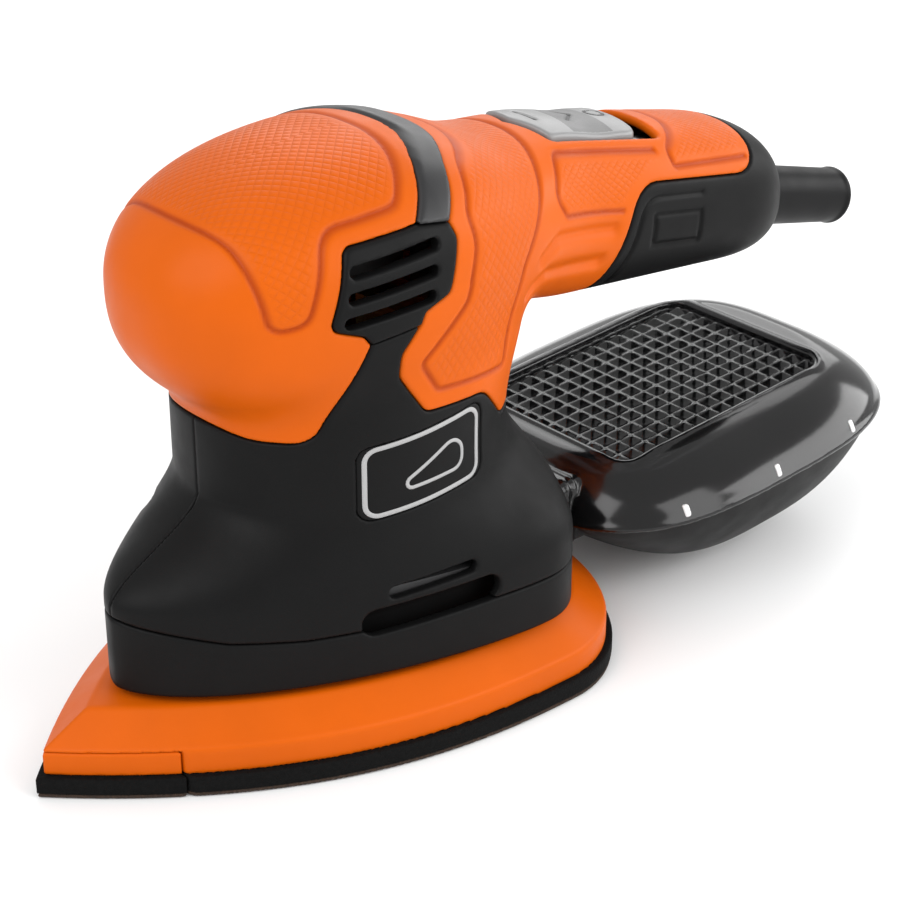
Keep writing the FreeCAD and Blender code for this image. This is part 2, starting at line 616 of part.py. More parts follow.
subpart(fan, "fan")

weight_disc = cylinder("weight_disc", "weight_radius", "weight_low", "fan_low")
weight_half = block("weight_half", "-weight_radius", "weight_radius", "-weight_radius", "-2",
                    "weight_low", "fan_low")
weight_sector = doc.addObject("Part::MultiCommon", "weight_sector")
weight_sector.Shapes = [weight_disc, weight_half]
weight_hub = cylinder("weight_hub", "hub_radius + 1", "weight_low", "fan_low")
shaft_bore = cylinder("shaft_bore", "shaft_radius", "shaft_low", "fan_low")
subpart(cut("weight", union("weight_solid", weight_sector, weight_hub), shaft_bore), "counterweight")
pin_shank = cylinder("pin_shank", "pin_radius", "pin_low", "weight_low", "0", "throw")
subpart(pin_shank, "eccentric_pin")
screw_head = cylinder("screw_head_disc", "screw_head_radius", "screw_head_low", "pin_low", "0", "throw")
subpart(screw_head, "platen_screw")
bearing_outer = cylinder("platen_bearing_outer", "bearing_radius", "platen_bearing_low",
                         "platen_bearing_low + bearing_height - 0.4", "0", "throw")
bearing_inner = cylinder("platen_bearing_bore", "pin_radius + running", "platen_bearing_low",
                         "platen_bearing_low + bearing_height - 0.4", "0", "throw")
subpart(cut("platen_bearing_ring", bearing_outer, bearing_inner), "platen_bearing")

# ---- base: outline points run from the nose along the tool's left side to the tail ----

NOSE_FULLNESS = 2.4
SIDE_STEPS = 6
TAIL_STEPS = 5


def base_side():
    """The base's outline from its nose to its tail: a power curve to the widest place, then a quarter oval."""
    half, wide_at = size("base_half"), size("base_wide_at")
    long = wide_at + size("base_nose")
    points = []
    for step in range(SIDE_STEPS):
        share = 1 - step / SIDE_STEPS
        points.append((half * (1 - share ** NOSE_FULLNESS), wide_at - long * share))
    for step in range(TAIL_STEPS + 1):
        angle = math.pi / 2 * step / TAIL_STEPS
        points.append((half * math.cos(angle), wide_at + (size("base_tail") - wide_at) * math.sin(angle)))
    return points


NOSE_ANGLE = math.atan(NOSE_FULLNESS * size("base_half") / (size("base_wide_at") + size("base_nose")))


def inset_side(inset):
    """The side's points moved square to the outline by the inset."""
    side = base_side()
    moved = [(0.0, side[0][1] + inset / math.sin(NOSE_ANGLE))]
    for before, here, after in zip(side, side[1:], side[2:]):
        run_x = after[0] - before[0]
        run_y = after[1] - before[1]
        length = math.hypot(run_x, run_y)
        moved.append((here[0] - run_y / length * inset, here[1] + run_x / length * inset))
    moved.append((0.0, side[-1][1] - inset))
    return moved


def base_wire(inset, height):
    points = [Vector(x, y, height) for x, y in inset_side(inset)]
    side = Part.BSplineCurve()
    side.interpolate(Points=points, InitialTangent=Vector(math.sin(NOSE_ANGLE), math.cos(NOSE_ANGLE), 0),
                     FinalTangent=Vector(-1, 0, 0))
    edge = side.toShape()
    return Part.Wire(Part.__sortEdges__([edge, mirrored(edge)]))


def base_slab(inset, low, high):
    return Part.Face(base_wire(inset, low)).extrude(Vector(0, 0, high - low))


split = -size("tip_split")
gap = size("tip_gap")
front_of_split = box_shape(-70, 70, -100, split - gap, -5, 60)
rear_of_split = box_shape(-70, 70, split, 100, -5, 60)
throw = size("throw")


def at_pin(radius, low, high):
    return Part.makeCylinder(radius, high - low, Vector(0, throw, low))


DUST_HOLE_COUNT = 6
DUST_HOLE_RADIUS = 3.5
DUST_RING_RADIUS = 26.0
DUST_RING_AT = 8.0
dust_drills = []
for step in range(DUST_HOLE_COUNT):
    angle = 2 * math.pi * step / DUST_HOLE_COUNT
    middle = Vector(DUST_RING_RADIUS * math.cos(angle), DUST_RING_AT + DUST_RING_RADIUS * math.sin(angle), -2.0)
    dust_drills.append(Part.makeCylinder(DUST_HOLE_RADIUS, 30.0, middle))


def drilled(shape):
    for drill in dust_drills:
        shape = shape.cut(drill)
    return shape


WALL_LIP = 0.3
facets = Part.makeLoft([base_wire(size("wall_inset"), size("wall_top")),
                        base_wire(size("facet_inset"), size("platen_top"))], True, True)
wall_part = base_slab(size("wall_inset"), size("pad_top"), size("wall_top"))
tip_zone_high = size("wall_top") - WALL_LIP
tip_holder = base_slab(size("wall_inset"), size("pad_top"), tip_zone_high).common(front_of_split)
tip_room = box_shape(-70, 70, -100, split, 0, tip_zone_high + 0.15)
platen = facets.fuse(wall_part.cut(tip_room))
platen = platen.cut(at_pin(size("bearing_radius") + 1.0, 0.0, size("platen_bearing_low")))
platen_bearing_high = size("platen_bearing_low") + size("bearing_height") - 0.4
platen = platen.cut(at_pin(size("bearing_radius"), 0.0, platen_bearing_high))
platen = platen.cut(at_pin(size("bearing_radius") - 2.0, 0.0, 30.0))
made("platen", drilled(platen).removeSplitter())
made("tip_holder", tip_holder)
pad = base_slab(0.0, size("sheet_thick"), size("pad_top"))
made("main_pad", drilled(pad.common(rear_of_split)))
made("tip_pad", pad.common(front_of_split))
abrasive = base_slab(0.0, 0.0, size("sheet_thick"))
made("sanding_sheet", drilled(abrasive.common(rear_of_split)))
made("tip_sheet", abrasive.common(front_of_split))

for end, x, y in (("front", "front_leg_x", "-front_leg_y"), ("rear", "rear_leg_x", "rear_leg_y")):
    for side, sign in (("left", ""), ("right", "-")):
        leg = cylinder(f"leg_shape_{end}_{side}", "leg_radius", "platen_top", "plate_low", sign + x, y)
        subpart(leg, f"leg_{end}_{side}")

# ---- dust duct and box ----

duct_tube = block("duct_tube", "-duct_half", "duct_half", "duct_front", "duct_rear", "duct_low", "duct_high")
duct_bore = block("duct_bore", "-duct_half + duct_skin", "duct_half - duct_skin", "duct_front",
                  "duct_rear", "duct_low + duct_skin", "duct_high - duct_skin")
subpart(cut("duct", duct_tube, duct_bore), "dust_duct")
seal_plate = block("seal_plate", "-duct_half - 2", "duct_half + 2", "seal_front", "seal_rear",
                   "duct_low - 2", "duct_high + 2")
seal_hole = block("seal_hole", "-duct_half", "duct_half", "seal_front", "seal_rear", "duct_low", "duct_high")
subpart(cut("seal", seal_plate, seal_hole), "duct_seal")

BOX_FULLNESS = 3.1
BOX_STATIONS = 4
LID_CURVE = 1.9


def tray_rows():
    """Height, how far the sides move in and how far the front moves back, from the floor to the seam."""
    rows = []
    for step in range(BOX_STATIONS + 1):
        below = 1 - math.sin(math.pi / 2 * step / BOX_STATIONS)
        rounding = size("tray_round") * (1 - math.sqrt(1 - below ** 2))
        rows.append((between(size("box_seam"), size("box_floor"), below), size("tray_lean") * below + rounding,
                     size("tray_front_lean") * below + rounding))
    return rows


def lid_rows():
    """The same three numbers from the seam to the top."""
    rows = []
    for step in range(BOX_STATIONS + 1):
        above = step / BOX_STATIONS
        rows.append((between(size("box_seam"), size("box_top"), above), size("lid_lean") * above ** LID_CURVE,
                     size("lid_front_lean") * above ** LID_CURVE))
    return rows


def tilted(height, y):
    """The box rises toward its rear end."""
    return height + math.tan(math.radians(size("box_slope"))) * (y - size("box_level_at"))


def box_wire(inset, front_inset, height):
    front = size("box_front") + front_inset
    rear = size("box_rear") - inset
    middle = (front + rear) / 2
    reach = (rear - front) / 2
    half = size("box_half") - inset
    points = []
    for angle in turn_steps(40):
        y = middle + reach * power(math.sin(angle), BOX_FULLNESS)
        points.append(Vector(half * power(math.cos(angle), BOX_FULLNESS), y, tilted(height, y)))
    return closed_wire(points)


def box_loft(rows, inset=0.0, closed_end=None):
    """The solid through the rows, or the hollow that leaves a wall of the inset and a closed end."""
    wires = []
    for number, (height, side_inset, front_inset) in enumerate(rows):
        lift = 0.0
        if closed_end == "floor" and number == 0:
            lift = inset
        if closed_end == "top" and number == len(rows) - 1:
            lift = -inset
        wires.append(box_wire(side_inset + inset, front_inset + inset, height + lift))
    return Part.makeLoft(wires, True, False)


def box_zone(low, high):
    """Everything between two heights above or below the box's tilted seam."""
    outline = [(40.0, low), (160.0, low), (160.0, high), (40.0, high)]
    return side_prism([(y, tilted(size("box_seam") + height, y), 0) for y, height in outline], -60.0, 60.0)


skin = size("box_skin")
duct_clear = box_shape(-size("duct_half") - 0.4, size("duct_half") + 0.4, 40.0, size("duct_rear") + 3.0,
                       size("duct_low") - 0.4, size("duct_high") + 0.4)
collar = box_shape(-size("collar_half"), size("collar_half"), size("collar_front"), size("duct_rear") + 3.0,
                   size("collar_low"), size("collar_high"))
tray = box_loft(tray_rows()).cut(box_loft(tray_rows(), skin, "floor")).cut(collar)
lid = box_loft(lid_rows()).cut(box_loft(lid_rows(), skin, "top"))
LID_GAP = 0.15
collar_upper = collar.common(box_zone(LID_GAP, 30.0)).cut(duct_clear)
collar_lower = collar.common(box_zone(-30.0, 0.0)).cut(duct_clear)
lid = lid.common(box_zone(LID_GAP, 40.0)).cut(collar).fuse(collar_upper)
made("dust_tray", tray.fuse(collar_lower).removeSplitter())
# the collar's corner cuts off one crumb of the lid's wall, which is dropped
made("dust_lid", max(lid.removeSplitter().Solids, key=lambda solid: solid.Volume))
tab_left = block("tab_left", "collar_half", "collar_half + tab_thick", "collar_front", "tab_rear", "tab_low",
                 "tab_high")
tab_right = block("tab_right", "-collar_half - tab_thick", "-collar_half", "collar_front", "tab_rear",
                  "tab_low", "tab_high")
subpart(union("latch_tabs", tab_left, tab_right), "dust_latch")
frame_plate = block("frame_plate", "-filter_half", "filter_half", "filter_front", "filter_rear",
                    "filter_low", "filter_high")
frame_hole = block("frame_hole", "-filter_half + 2", "filter_half - 2", "filter_front + 2",
                   "filter_rear - 2", "filter_low", "filter_high")
subpart(cut("frame", frame_plate, frame_hole), "filter_frame")
subpart(block("pleats", "-filter_half + 2", "filter_half - 2", "filter_front + 2", "filter_rear - 2",
              "filter_low + 1", "filter_high - 1"), "filter_element")

# ---- internal leads, held along their route ----


def lead(name, points, radius=1.1):
    """A lead of straight runs joined by arcs as large as the runs allow."""
    edges = []
    here = points[0]
    for before, corner, after in zip(points, points[1:], points[2:]):
        come = (corner - before).normalize()
        leave = (after - corner).normalize()
        turn = come.getAngle(leave)
        reach = 0.45 * min((corner - before).Length, (after - corner).Length)
        bend = reach / math.tan(turn / 2)
        start = corner - come * reach
        finish = corner + leave * reach
        inward = (leave - come).normalize()
        middle = corner + inward * (math.hypot(bend, reach) - bend)
        edges.append(Part.LineSegment(here, start).toShape())
        edges.append(Part.Arc(start, middle, finish).toShape())
        here = finish
    edges.append(Part.LineSegment(here, points[-1]).toShape())
    path = Part.Wire(edges)
    start_way = (points[1] - points[0]).normalize()
    profile = Part.Wire([Part.makeCircle(radius, points[0], start_way)])
    made(name, path.makePipeShell([profile], True, False))


for side, sign in (("left", 1.0), ("right", -1.0)):
    lead(f"lead_{side}", [Vector(sign * 26.2, 0, 88), Vector(sign * 26.2, 14, 90), Vector(sign * 16, 30, 93),
                          Vector(sign * 10, 42, 92), Vector(sign * 5, 55.5, 90)])

# ---- checks and export ----

doc.recompute()
problems = []
for item in doc.Objects:
    if "Invalid" in item.State or "Error" in item.State:
        problems.append(f"{item.Name}: {item.State}")
for item in SUBPARTS:
    shape = item.Shape
    if shape.isNull() or not shape.isValid() or not shape.Solids:
        problems.append(f"{item.Label}: bad shape")
if problems:
    raise RuntimeError("; ".join(problems))

os.makedirs("parts", exist_ok=True)
for item in SUBPARTS:
    item.Shape.exportStep(os.path.join("parts", item.Label + ".step"))
    box = item.Shape.BoundBox
    print(f"{item.Label:20s} solids {len(item.Shape.Solids)} volume {item.Shape.Volume:10.1f}"
          f" x {box.XMin:.1f} {box.XMax:.1f} y {box.YMin:.1f} {box.YMax:.1f} z {box.ZMin:.1f} {box.ZMax:.1f}")
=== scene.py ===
import json
import math

import bmesh
import bpy
import numpy as np
from mathutils import Matrix, Vector


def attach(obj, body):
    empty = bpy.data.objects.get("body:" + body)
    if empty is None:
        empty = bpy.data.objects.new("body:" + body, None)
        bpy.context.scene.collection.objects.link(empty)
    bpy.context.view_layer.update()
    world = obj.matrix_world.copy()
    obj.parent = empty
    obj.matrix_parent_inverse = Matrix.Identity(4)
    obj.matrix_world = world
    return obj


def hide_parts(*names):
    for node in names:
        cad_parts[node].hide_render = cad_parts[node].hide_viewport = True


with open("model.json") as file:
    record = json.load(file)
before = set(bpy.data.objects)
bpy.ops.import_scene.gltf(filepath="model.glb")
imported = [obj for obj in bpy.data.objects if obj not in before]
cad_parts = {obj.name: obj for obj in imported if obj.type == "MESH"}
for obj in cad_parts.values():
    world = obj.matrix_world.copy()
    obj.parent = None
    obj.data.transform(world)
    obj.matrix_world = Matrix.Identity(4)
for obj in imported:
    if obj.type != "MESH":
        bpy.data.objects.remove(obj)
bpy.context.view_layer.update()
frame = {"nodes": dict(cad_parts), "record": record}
NODES = frame["nodes"]
MM = 0.001


# ---- body shape, millimetres

TOWER_LOW = 13.5
TOWER_HIGH = 96.0
# The skirt, the narrower waist, and the heights between which one blends into the other.
SKIRT_HALF = 39.5
SKIRT_FRONT = 59.5
SKIRT_REAR = 44.0
SKIRT_WIDE_AT = 23.0
SKIRT_FULLNESS = (1.62, 2.4)
WAIST_HALF = 31.5
WAIST_FRONT = 37.0
WAIST_REAR = 34.5
WAIST_FULLNESS = (2.0, 2.3)
NECK_REAR = 41.0
FRONT_BLEND = (36.0, 55.0)
SIDE_BLEND = (34.0, 54.0)
REAR_BLEND = (42.0, 62.0)
NECK_BLEND = (62.0, 86.0)
# The head, on the handle's axis.
HEAD_AT = 3.0
HEAD_HEIGHT = 97.5
HEAD_HALF = 33.0
HEAD_RISE = 26.5
HEAD_DROP = 31.0
HEAD_REACH = 53.0
HEAD_FADE = 35.0
HEAD_FULLNESS = 2.3
HEAD_OVAL = 2.4
# The handle: its axis falls toward the tail, with a saddle behind the head.
AXIS_FALL = 0.16
AXIS_BEND_AT = 30.0
AXIS_BEND_SOFT = 10.0
GRIP_HALF = 19.5
GRIP_FROM = 62.0
GRIP_REACH = 20.2
GRIP_REACH_AT = 55.0
GRIP_TAPER = 0.062
GRIP_OVAL = 2.3
SADDLE_DEPTH = 2.6
SADDLE_AT = 36.0
SADDLE_LONG = 12.0
TAIL_FROM = 100.0
TAIL_LONG = 23.2
TAIL_END = 121.0
TAIL_FULLNESS = 3.0
TAIL_EDGE = 3.0
WALL = 2.4
SKIRT_BASE = 17.5
HEAD_SEAT = 12.0
SCREW_HOLE = 3.2
CREASE = 3.5


def eased(value, low, high):
    """0 below low, 1 above high, and a smooth change between."""
    share = np.clip((value - low) / (high - low), 0, 1)
    return share * share * (3 - 2 * share)


def between(first, second, share):
    return first + (second - first) * share


def line_bump(distance, half):
    """1 on a line, fading to nothing over about twice the half width."""
    return np.exp(-(distance / half) ** 2)


def handle_section(place):
    """The handle's middle height, half width, rise, drop and fullness at a place along Y."""
    place = np.clip(place, HEAD_AT, TAIL_END)
    past_bend = place - AXIS_BEND_AT
    fall = AXIS_FALL * (np.hypot(past_bend, AXIS_BEND_SOFT) + past_bend) / 2
    saddle = SADDLE_DEPTH * line_bump(place - SADDLE_AT, SADDLE_LONG)
    reach = GRIP_REACH - GRIP_TAPER * (place - GRIP_REACH_AT) - saddle
    head = 1 - eased(place, HEAD_AT, HEAD_FADE)
    at_head = GRIP_REACH - GRIP_TAPER * (HEAD_AT - GRIP_REACH_AT)
    tail = (1 - (np.maximum(place - TAIL_FROM, 0) / TAIL_LONG) ** TAIL_FULLNESS) ** (1 / TAIL_FULLNESS)
    half = between(HEAD_HALF, GRIP_HALF, eased(place, HEAD_AT, GRIP_FROM))
    return (HEAD_HEIGHT - fall, half * tail, (reach + (HEAD_RISE - at_head) * head) * tail,
            (reach + (HEAD_DROP - at_head) * head) * tail, between(GRIP_OVAL, HEAD_OVAL, head))


def smooth_min(a, b, blend):
    mix = np.clip(0.5 + 0.5 * (b - a) / blend, 0, 1)
    return b * (1 - mix) + a * mix - blend * mix * (1 - mix)


def smooth_max(a, b, blend):
    return -smooth_min(-a, -b, blend)


def cut(piece, hole, blend):
    """What is left of a piece outside a hole, the edge between them softened."""
    return smooth_max(piece, -hole, blend)


def oval_distance(u, v, half_u, half_v, full):
    """How far (u, v) lies outside an oval with the given half sizes and fullness."""
    u, v = np.abs(u), np.abs(v)
    total = np.maximum((u / half_u) ** full + (v / half_v) ** full, 1e-9)
    reach = total ** (1 / full)
    slope = total ** (1 / full - 1) * np.sqrt((u ** (full - 1) / half_u ** full) ** 2
                                              + (v ** (full - 1) / half_v ** full) ** 2)
    return (reach - 1) / np.maximum(slope, 1e-3), reach, slope


def tower_field(x, y, z, inset=0.0):
    ahead = eased(z, *FRONT_BLEND)
    half = between(SKIRT_HALF, WAIST_HALF, eased(z, *SIDE_BLEND))
    front = -between(SKIRT_FRONT, WAIST_FRONT, ahead)
    neck = (NECK_REAR - WAIST_REAR) * eased(z, *NECK_BLEND)
    rear = between(SKIRT_REAR, WAIST_REAR, eased(z, *REAR_BLEND)) + neck
    wide = SKIRT_WIDE_AT * (1 - ahead)
    along = y - wide
    reach = np.where(along < 0, wide - front, rear - wide) - inset
    full = np.where(along < 0, between(SKIRT_FULLNESS[0], WAIST_FULLNESS[0], ahead),
                    between(SKIRT_FULLNESS[1], WAIST_FULLNESS[1], ahead))
    side = oval_distance(x, along, half - inset, reach, full)[0]
    return np.maximum(side, np.maximum(TOWER_LOW - z, z - TOWER_HIGH))


def handle_field(x, y, z, inset=0.0):
    middle, half, rise, drop, full = handle_section(y)
    up = z - middle
    tall = np.where(up > 0, rise, drop) - inset
    side, reach, slope = oval_distance(x, up, half - inset, tall, full)
    back = np.abs(np.minimum(y - HEAD_AT, 0)) + 0 * reach
    long = HEAD_REACH - inset
    total = np.maximum(reach ** HEAD_FULLNESS + (back / long) ** HEAD_FULLNESS, 1e-9)
    outward = reach ** (HEAD_FULLNESS - 1) * slope
    backward = back ** (HEAD_FULLNESS - 1) / long ** HEAD_FULLNESS
    steep = total ** (1 / HEAD_FULLNESS - 1) * np.sqrt(outward ** 2 + backward ** 2)
    nose = (total ** (1 / HEAD_FULLNESS) - 1) / np.maximum(steep, 1e-3)
    tail = smooth_max(side, y - (TAIL_END - inset), TAIL_EDGE)
    return np.where(y < HEAD_AT, nose, tail)


def body_field(x, y, z, inset=0.0):
    return smooth_min(tower_field(x, y, z, inset), handle_field(x, y, z, inset), CREASE)


# ---- seams in the side view: (y, z, arc radius)

RING_SEAM = [(-66.0, 36.5, 0), (-44.0, 28.5, 80), (52.0, 28.5, 0)]
GRIP_FOOT = [(-66.0, 78.0, 0), (-41.0, 74.0, 20), (-33.5, 70.0, 6), (-25.0, 70.0, 5), (-16.5, 91.5, 0)]
GRILLE_FRONT = [(-16.5, 91.5, 0), (-18.0, 93.5, 2), (-25.0, 96.0, 2), (-20.0, 111.0, 2.5), (-3.5, 112.0, 0)]
GRILLE_REAR = [(4.0, 111.0, 0), (5.0, 108.0, 2), (2.0, 98.0, 3), (-4.5, 95.5, 1.5), (-5.5, 93.0, 0)]
BAND_FRONT = [(-3.5, 112.0, 0), (4.5, 121.0, 10), (10.5, 123.0, 2), (12.0, 132.0, 0)]
BAND_REAR = [(4.0, 111.0, 0), (10.5, 119.0, 8), (16.5, 121.5, 3), (20.0, 132.0, 0)]
ARM_FOOT = [(-5.5, 93.0, 0), (-9.5, 87.5, 3.5), (-9.5, 82.5, 3.5), (-3.0, 73.0, 2.5), (13.5, 72.0, 6),
            (21.0, 63.5, 2), (52.0, 63.5, 0)]
COVER_LINE = [(58.5, 60.0, 0), (60.0, 78.0, 30), (68.5, 99.5, 7), (109.0, 92.5, 7.5), (110.0, 132.0, 0)]

RING_REGION = RING_SEAM + [(52.0, 5.0, 0), (-66.0, 5.0, 0)]
GRIP_REGION = GRIP_FOOT + GRILLE_FRONT[1:] + BAND_FRONT[1:] + [(-66.0, 132.0, 0)]
BAND_REGION = BAND_FRONT + BAND_REAR[::-1]
GRILLE_REGION = GRILLE_FRONT + GRILLE_REAR
HOUSING_REGION = RING_SEAM + ARM_FOOT[::-1] + GRIP_FOOT[::-1]
HANDLE_REGION = ARM_FOOT + COVER_LINE + BAND_REAR[::-1] + GRILLE_REAR[1:-1]
COVER_REGION = COVER_LINE + [(140.0, 132.0, 0), (140.0, 60.0, 0)]

# Moulded pads with a groove around them, and their texture inside.
HEAD_PAD = [(-46.0, 117.5, 0), (-38.0, 113.5, 4), (-35.5, 97.0, 2.5), (-29.0, 98.0, 4), (-23.0, 114.0, 6),
            (-6.0, 115.5, 5), (5.5, 125.5, 0), (6.0, 134.0, 0), (-46.0, 134.0, 0)]
NECK_PAD = [(25.0, 134.0, 0), (23.5, 119.5, 3), (14.5, 117.5, 5), (9.5, 111.0, 4), (10.0, 105.5, 8),
            (6.5, 94.5, 5), (-4.5, 84.0, 1.5), (0.0, 77.0, 2), (20.5, 75.0, 1.5), (22.0, 86.0, 20),
            (25.5, 95.5, 8), (41.0, 112.0, 20), (44.0, 116.0, 3), (44.0, 134.0, 0)]
SIDE_PAD = [(46.5, 110.5, 3), (77.0, 104.0, 1.5), (80.0, 101.5, 0.5), (74.0, 101.0, 2), (66.5, 98.0, 2),
            (63.0, 95.0, 1), (43.5, 99.5, 2), (41.0, 104.0, 3)]
SIDE_GROOVE = [(77.0, 104.0, 0), (46.5, 110.5, 3), (41.0, 104.0, 3), (43.5, 99.5, 2), (63.0, 95.0, 0)]
REAR_PAD = [(90.5, 134.0, 0), (89.0, 106.0, 3), (81.0, 103.0, 1.5), (81.0, 100.0, 1), (106.0, 96.5, 4),
            (109.0, 101.0, 3), (109.0, 134.0, 0)]
REAR_GROOVE = [(90.5, 112.0, 0), (89.0, 106.0, 3), (81.0, 103.0, 1.5), (81.0, 100.0, 1), (105.0, 96.5, 0)]
COVER_GROOVE = [(64.0, 77.0, 0), (70.0, 96.0, 5), (88.0, 93.0, 0)]
COVER_PANEL = [(73.0, 91.5, 0), (87.5, 89.0, 0), (87.5, 82.0, 0), (73.0, 84.5, 0), (73.0, 91.5, 0)]
FINGER_RIDGE = [(33.5, 93.5), (40.0, 96.0), (60.5, 91.5)]
FINGER_RIDGES = [[(y - 3.5 * step, z - 6.5 * step) for y, z in FINGER_RIDGE] for step in range(2)]
BADGE = [(-18.0, 51.5, 3), (-18.0, 68.0, 3), (12.5, 71.0, 3), (12.5, 54.0, 3)]
SIDE_SLOTS = [((-16.5, 30.0), (8.0, 31.5), 6.0), ((-12.5, 36.0), (4.5, 37.5), 2.6)]
LOUVRE_PITCH = 4.8
LOUVRES = [((-19.0 - step, 106.5 - LOUVRE_PITCH * step), (-1.0 - step, 108.0 - LOUVRE_PITCH * step), 2.4)
           for step in range(3)]
ARC_STEP = math.radians(15)


def unit(run):
    return run / np.linalg.norm(run)


def rounded(corners, closed=True):
    """Points along a side-view line whose corners are arcs."""
    places = np.array([corner[:2] for corner in corners], float)
    points = []
    for index, (here, corner) in enumerate(zip(places, corners)):
        radius = corner[2]
        if radius == 0 or not closed and index in (0, len(corners) - 1):
            points.append(here)
            continue
        come = unit(here - places[index - 1])
        leave = unit(places[(index + 1) % len(places)] - here)
        turn = math.atan2(come[0] * leave[1] - come[1] * leave[0], come @ leave)
        start = here - come * radius * math.tan(abs(turn) / 2)
        square = np.array([-come[1], come[0]]) * math.copysign(1, turn)
        steps = max(2, round(abs(turn) / ARC_STEP))
        for step in range(steps + 1):
            angle = abs(turn) * step / steps
            points.append(start + radius * (come * math.sin(angle) + square * (1 - math.cos(angle))))
    return np.array(points)


def segment_distance(y, z, start, end):
    run = (end[0] - start[0], end[1] - start[1])
    length = run[0] ** 2 + run[1] ** 2
    t = np.clip(((y - start[0]) * run[0] + (z - start[1]) * run[1]) / max(length, 1e-9), 0, 1)
    return np.hypot(y - start[0] - t * run[0], z - start[1] - t * run[1])


def path_distance(y, z, path):
    nearest = None
    for start, end in zip(path[:-1], path[1:]):
        there = segment_distance(y, z, start, end)
        nearest = there if nearest is None else np.minimum(nearest, there)
    return nearest


def outline_field(y, z, outline):
    """Signed distance to a closed outline: negative inside."""
    nearest = None
    inside = False
    for (y0, z0), (y1, z1) in zip(outline, np.roll(outline, -1, axis=0)):
        there = segment_distance(y, z, (y0, z0), (y1, z1))
        nearest = there if nearest is None else np.minimum(nearest, there)
        rise = z1 - z0 if z1 != z0 else 1e-9
        crossing = ((z0 > z) != (z1 > z)) & (y < (y1 - y0) * (z - z0) / rise + y0)
        inside = inside ^ crossing
    return np.where(inside, -nearest, nearest)


def slot_field(y, z, ends, tall):
    return segment_distance(y, z, ends[0], ends[1]) - tall / 2


# ---- meshing

def surface_net(field, low, high, step, halved=False):
    """A quad mesh of field < 0, its points pulled onto the surface; halved ends it flat at x = 0."""
    if halved:
        low = (-step / 2, *low[1:])
    axes = [np.arange(a, b + step, step) for a, b in zip(low, high)]
    values = np.broadcast_to(field(axes[0][:, None, None], axes[1][None, :, None], axes[2][None, None, :]),
                             [len(axis) for axis in axes]).astype(np.float32)
    inside = values < 0
    counts = inside.astype(np.uint8)
    total = sum(counts[i:i + counts.shape[0] - 1, j:j + counts.shape[1] - 1, k:k + counts.shape[2] - 1]
                for i in (0, 1) for j in (0, 1) for k in (0, 1))
    cells = np.argwhere((total > 0) & (total < 8))
    index = np.full([n - 1 for n in values.shape], -1, np.int64)
    index[tuple(cells.T)] = np.arange(len(cells))
    corner = {(i, j, k): values[cells[:, 0] + i, cells[:, 1] + j, cells[:, 2] + k]
              for i in (0, 1) for j in (0, 1) for k in (0, 1)}
    place = np.zeros((len(cells), 3))
    hits = np.zeros(len(cells))
    for axis in range(3):
        for p in (0, 1):
            for q in (0, 1):
                a = [p, q]
                a.insert(axis, 0)
                b = [p, q]
                b.insert(axis, 1)
                va, vb = corner[tuple(a)], corner[tuple(b)]
                crosses = (va < 0) != (vb < 0)
                t = np.where(crosses, va / np.where(crosses, va - vb, 1), 0)
                at = np.array(a, float)[None, :] + t[:, None] * np.eye(3)[axis][None, :]
                place += np.where(crosses[:, None], at, 0)
                hits += crosses
    points = (cells + place / hits[:, None]) * step + np.array(low)
    faces = []
    for axis in range(3):
        front = [slice(None)] * 3
        rear = [slice(None)] * 3
        front[axis] = slice(0, -1)
        rear[axis] = slice(1, None)
        a, b = inside[tuple(front)], inside[tuple(rear)]
        edges = np.argwhere(a != b)
        others = [other for other in range(3) if other != axis]
        keep = [(edges[:, other] > 0) & (edges[:, other] < values.shape[other] - 1) for other in others]
        edges = edges[np.all(keep, axis=0)]
        leaving = a[tuple(edges.T)]
        ring = []
        for du, dv in ((-1, -1), (0, -1), (0, 0), (-1, 0)):
            cell = edges.copy()
            cell[:, others[0]] += du
            cell[:, others[1]] += dv
            ring.append(index[tuple(cell.T)])
        quad = np.stack(ring, axis=1)
        turn = leaving if axis != 1 else ~leaving
        faces.append(np.where(turn[:, None], quad, quad[:, ::-1]))
    faces = np.concatenate(faces)
    middle = (cells[:, 0] == 0) & halved
    for _ in range(3):
        points = pulled(field, points, step)
        points[middle, 0] = 0
    return points, faces


def pulled(field, points, step):
    """Moves points along the field's slope toward its zero."""
    x, y, z = points.T
    here = field(x, y, z)
    small = 0.05
    slope = np.stack([field(x + small, y, z) - here, field(x, y + small, z) - here,
                      field(x, y, z + small) - here], axis=1) / small
    size = np.maximum((slope ** 2).sum(axis=1), 0.2)
    move = -(here / size)[:, None] * slope
    length = np.linalg.norm(move, axis=1)
    move *= np.minimum(1, 0.5 * step / np.maximum(length, 1e-9))[:, None]
    return points + move


def placed(name, data):
    """A new object in the scene."""
    item = bpy.data.objects.new(name, data)
    bpy.context.scene.collection.objects.link(item)
    return item


def mesh_object(name, points, faces):
    mesh = bpy.data.meshes.new(name)
    points = np.asarray(points, float) * MM
    if isinstance(faces, np.ndarray):
        mesh.vertices.add(len(points))
        mesh.vertices.foreach_set("co", points.ravel())
        mesh.loops.add(faces.size)
        mesh.loops.foreach_set("vertex_index", faces.ravel().astype(np.int32))
        mesh.polygons.add(len(faces))
        mesh.polygons.foreach_set("loop_start", np.arange(0, faces.size, faces.shape[1], dtype=np.int32))
        mesh.update(calc_edges=True)
    else:
        mesh.from_pydata([tuple(point) for point in points], [], faces)
    mesh.validate()
    mesh.polygons.foreach_set("use_smooth", np.ones(len(mesh.polygons), bool))
    return placed(name, mesh)


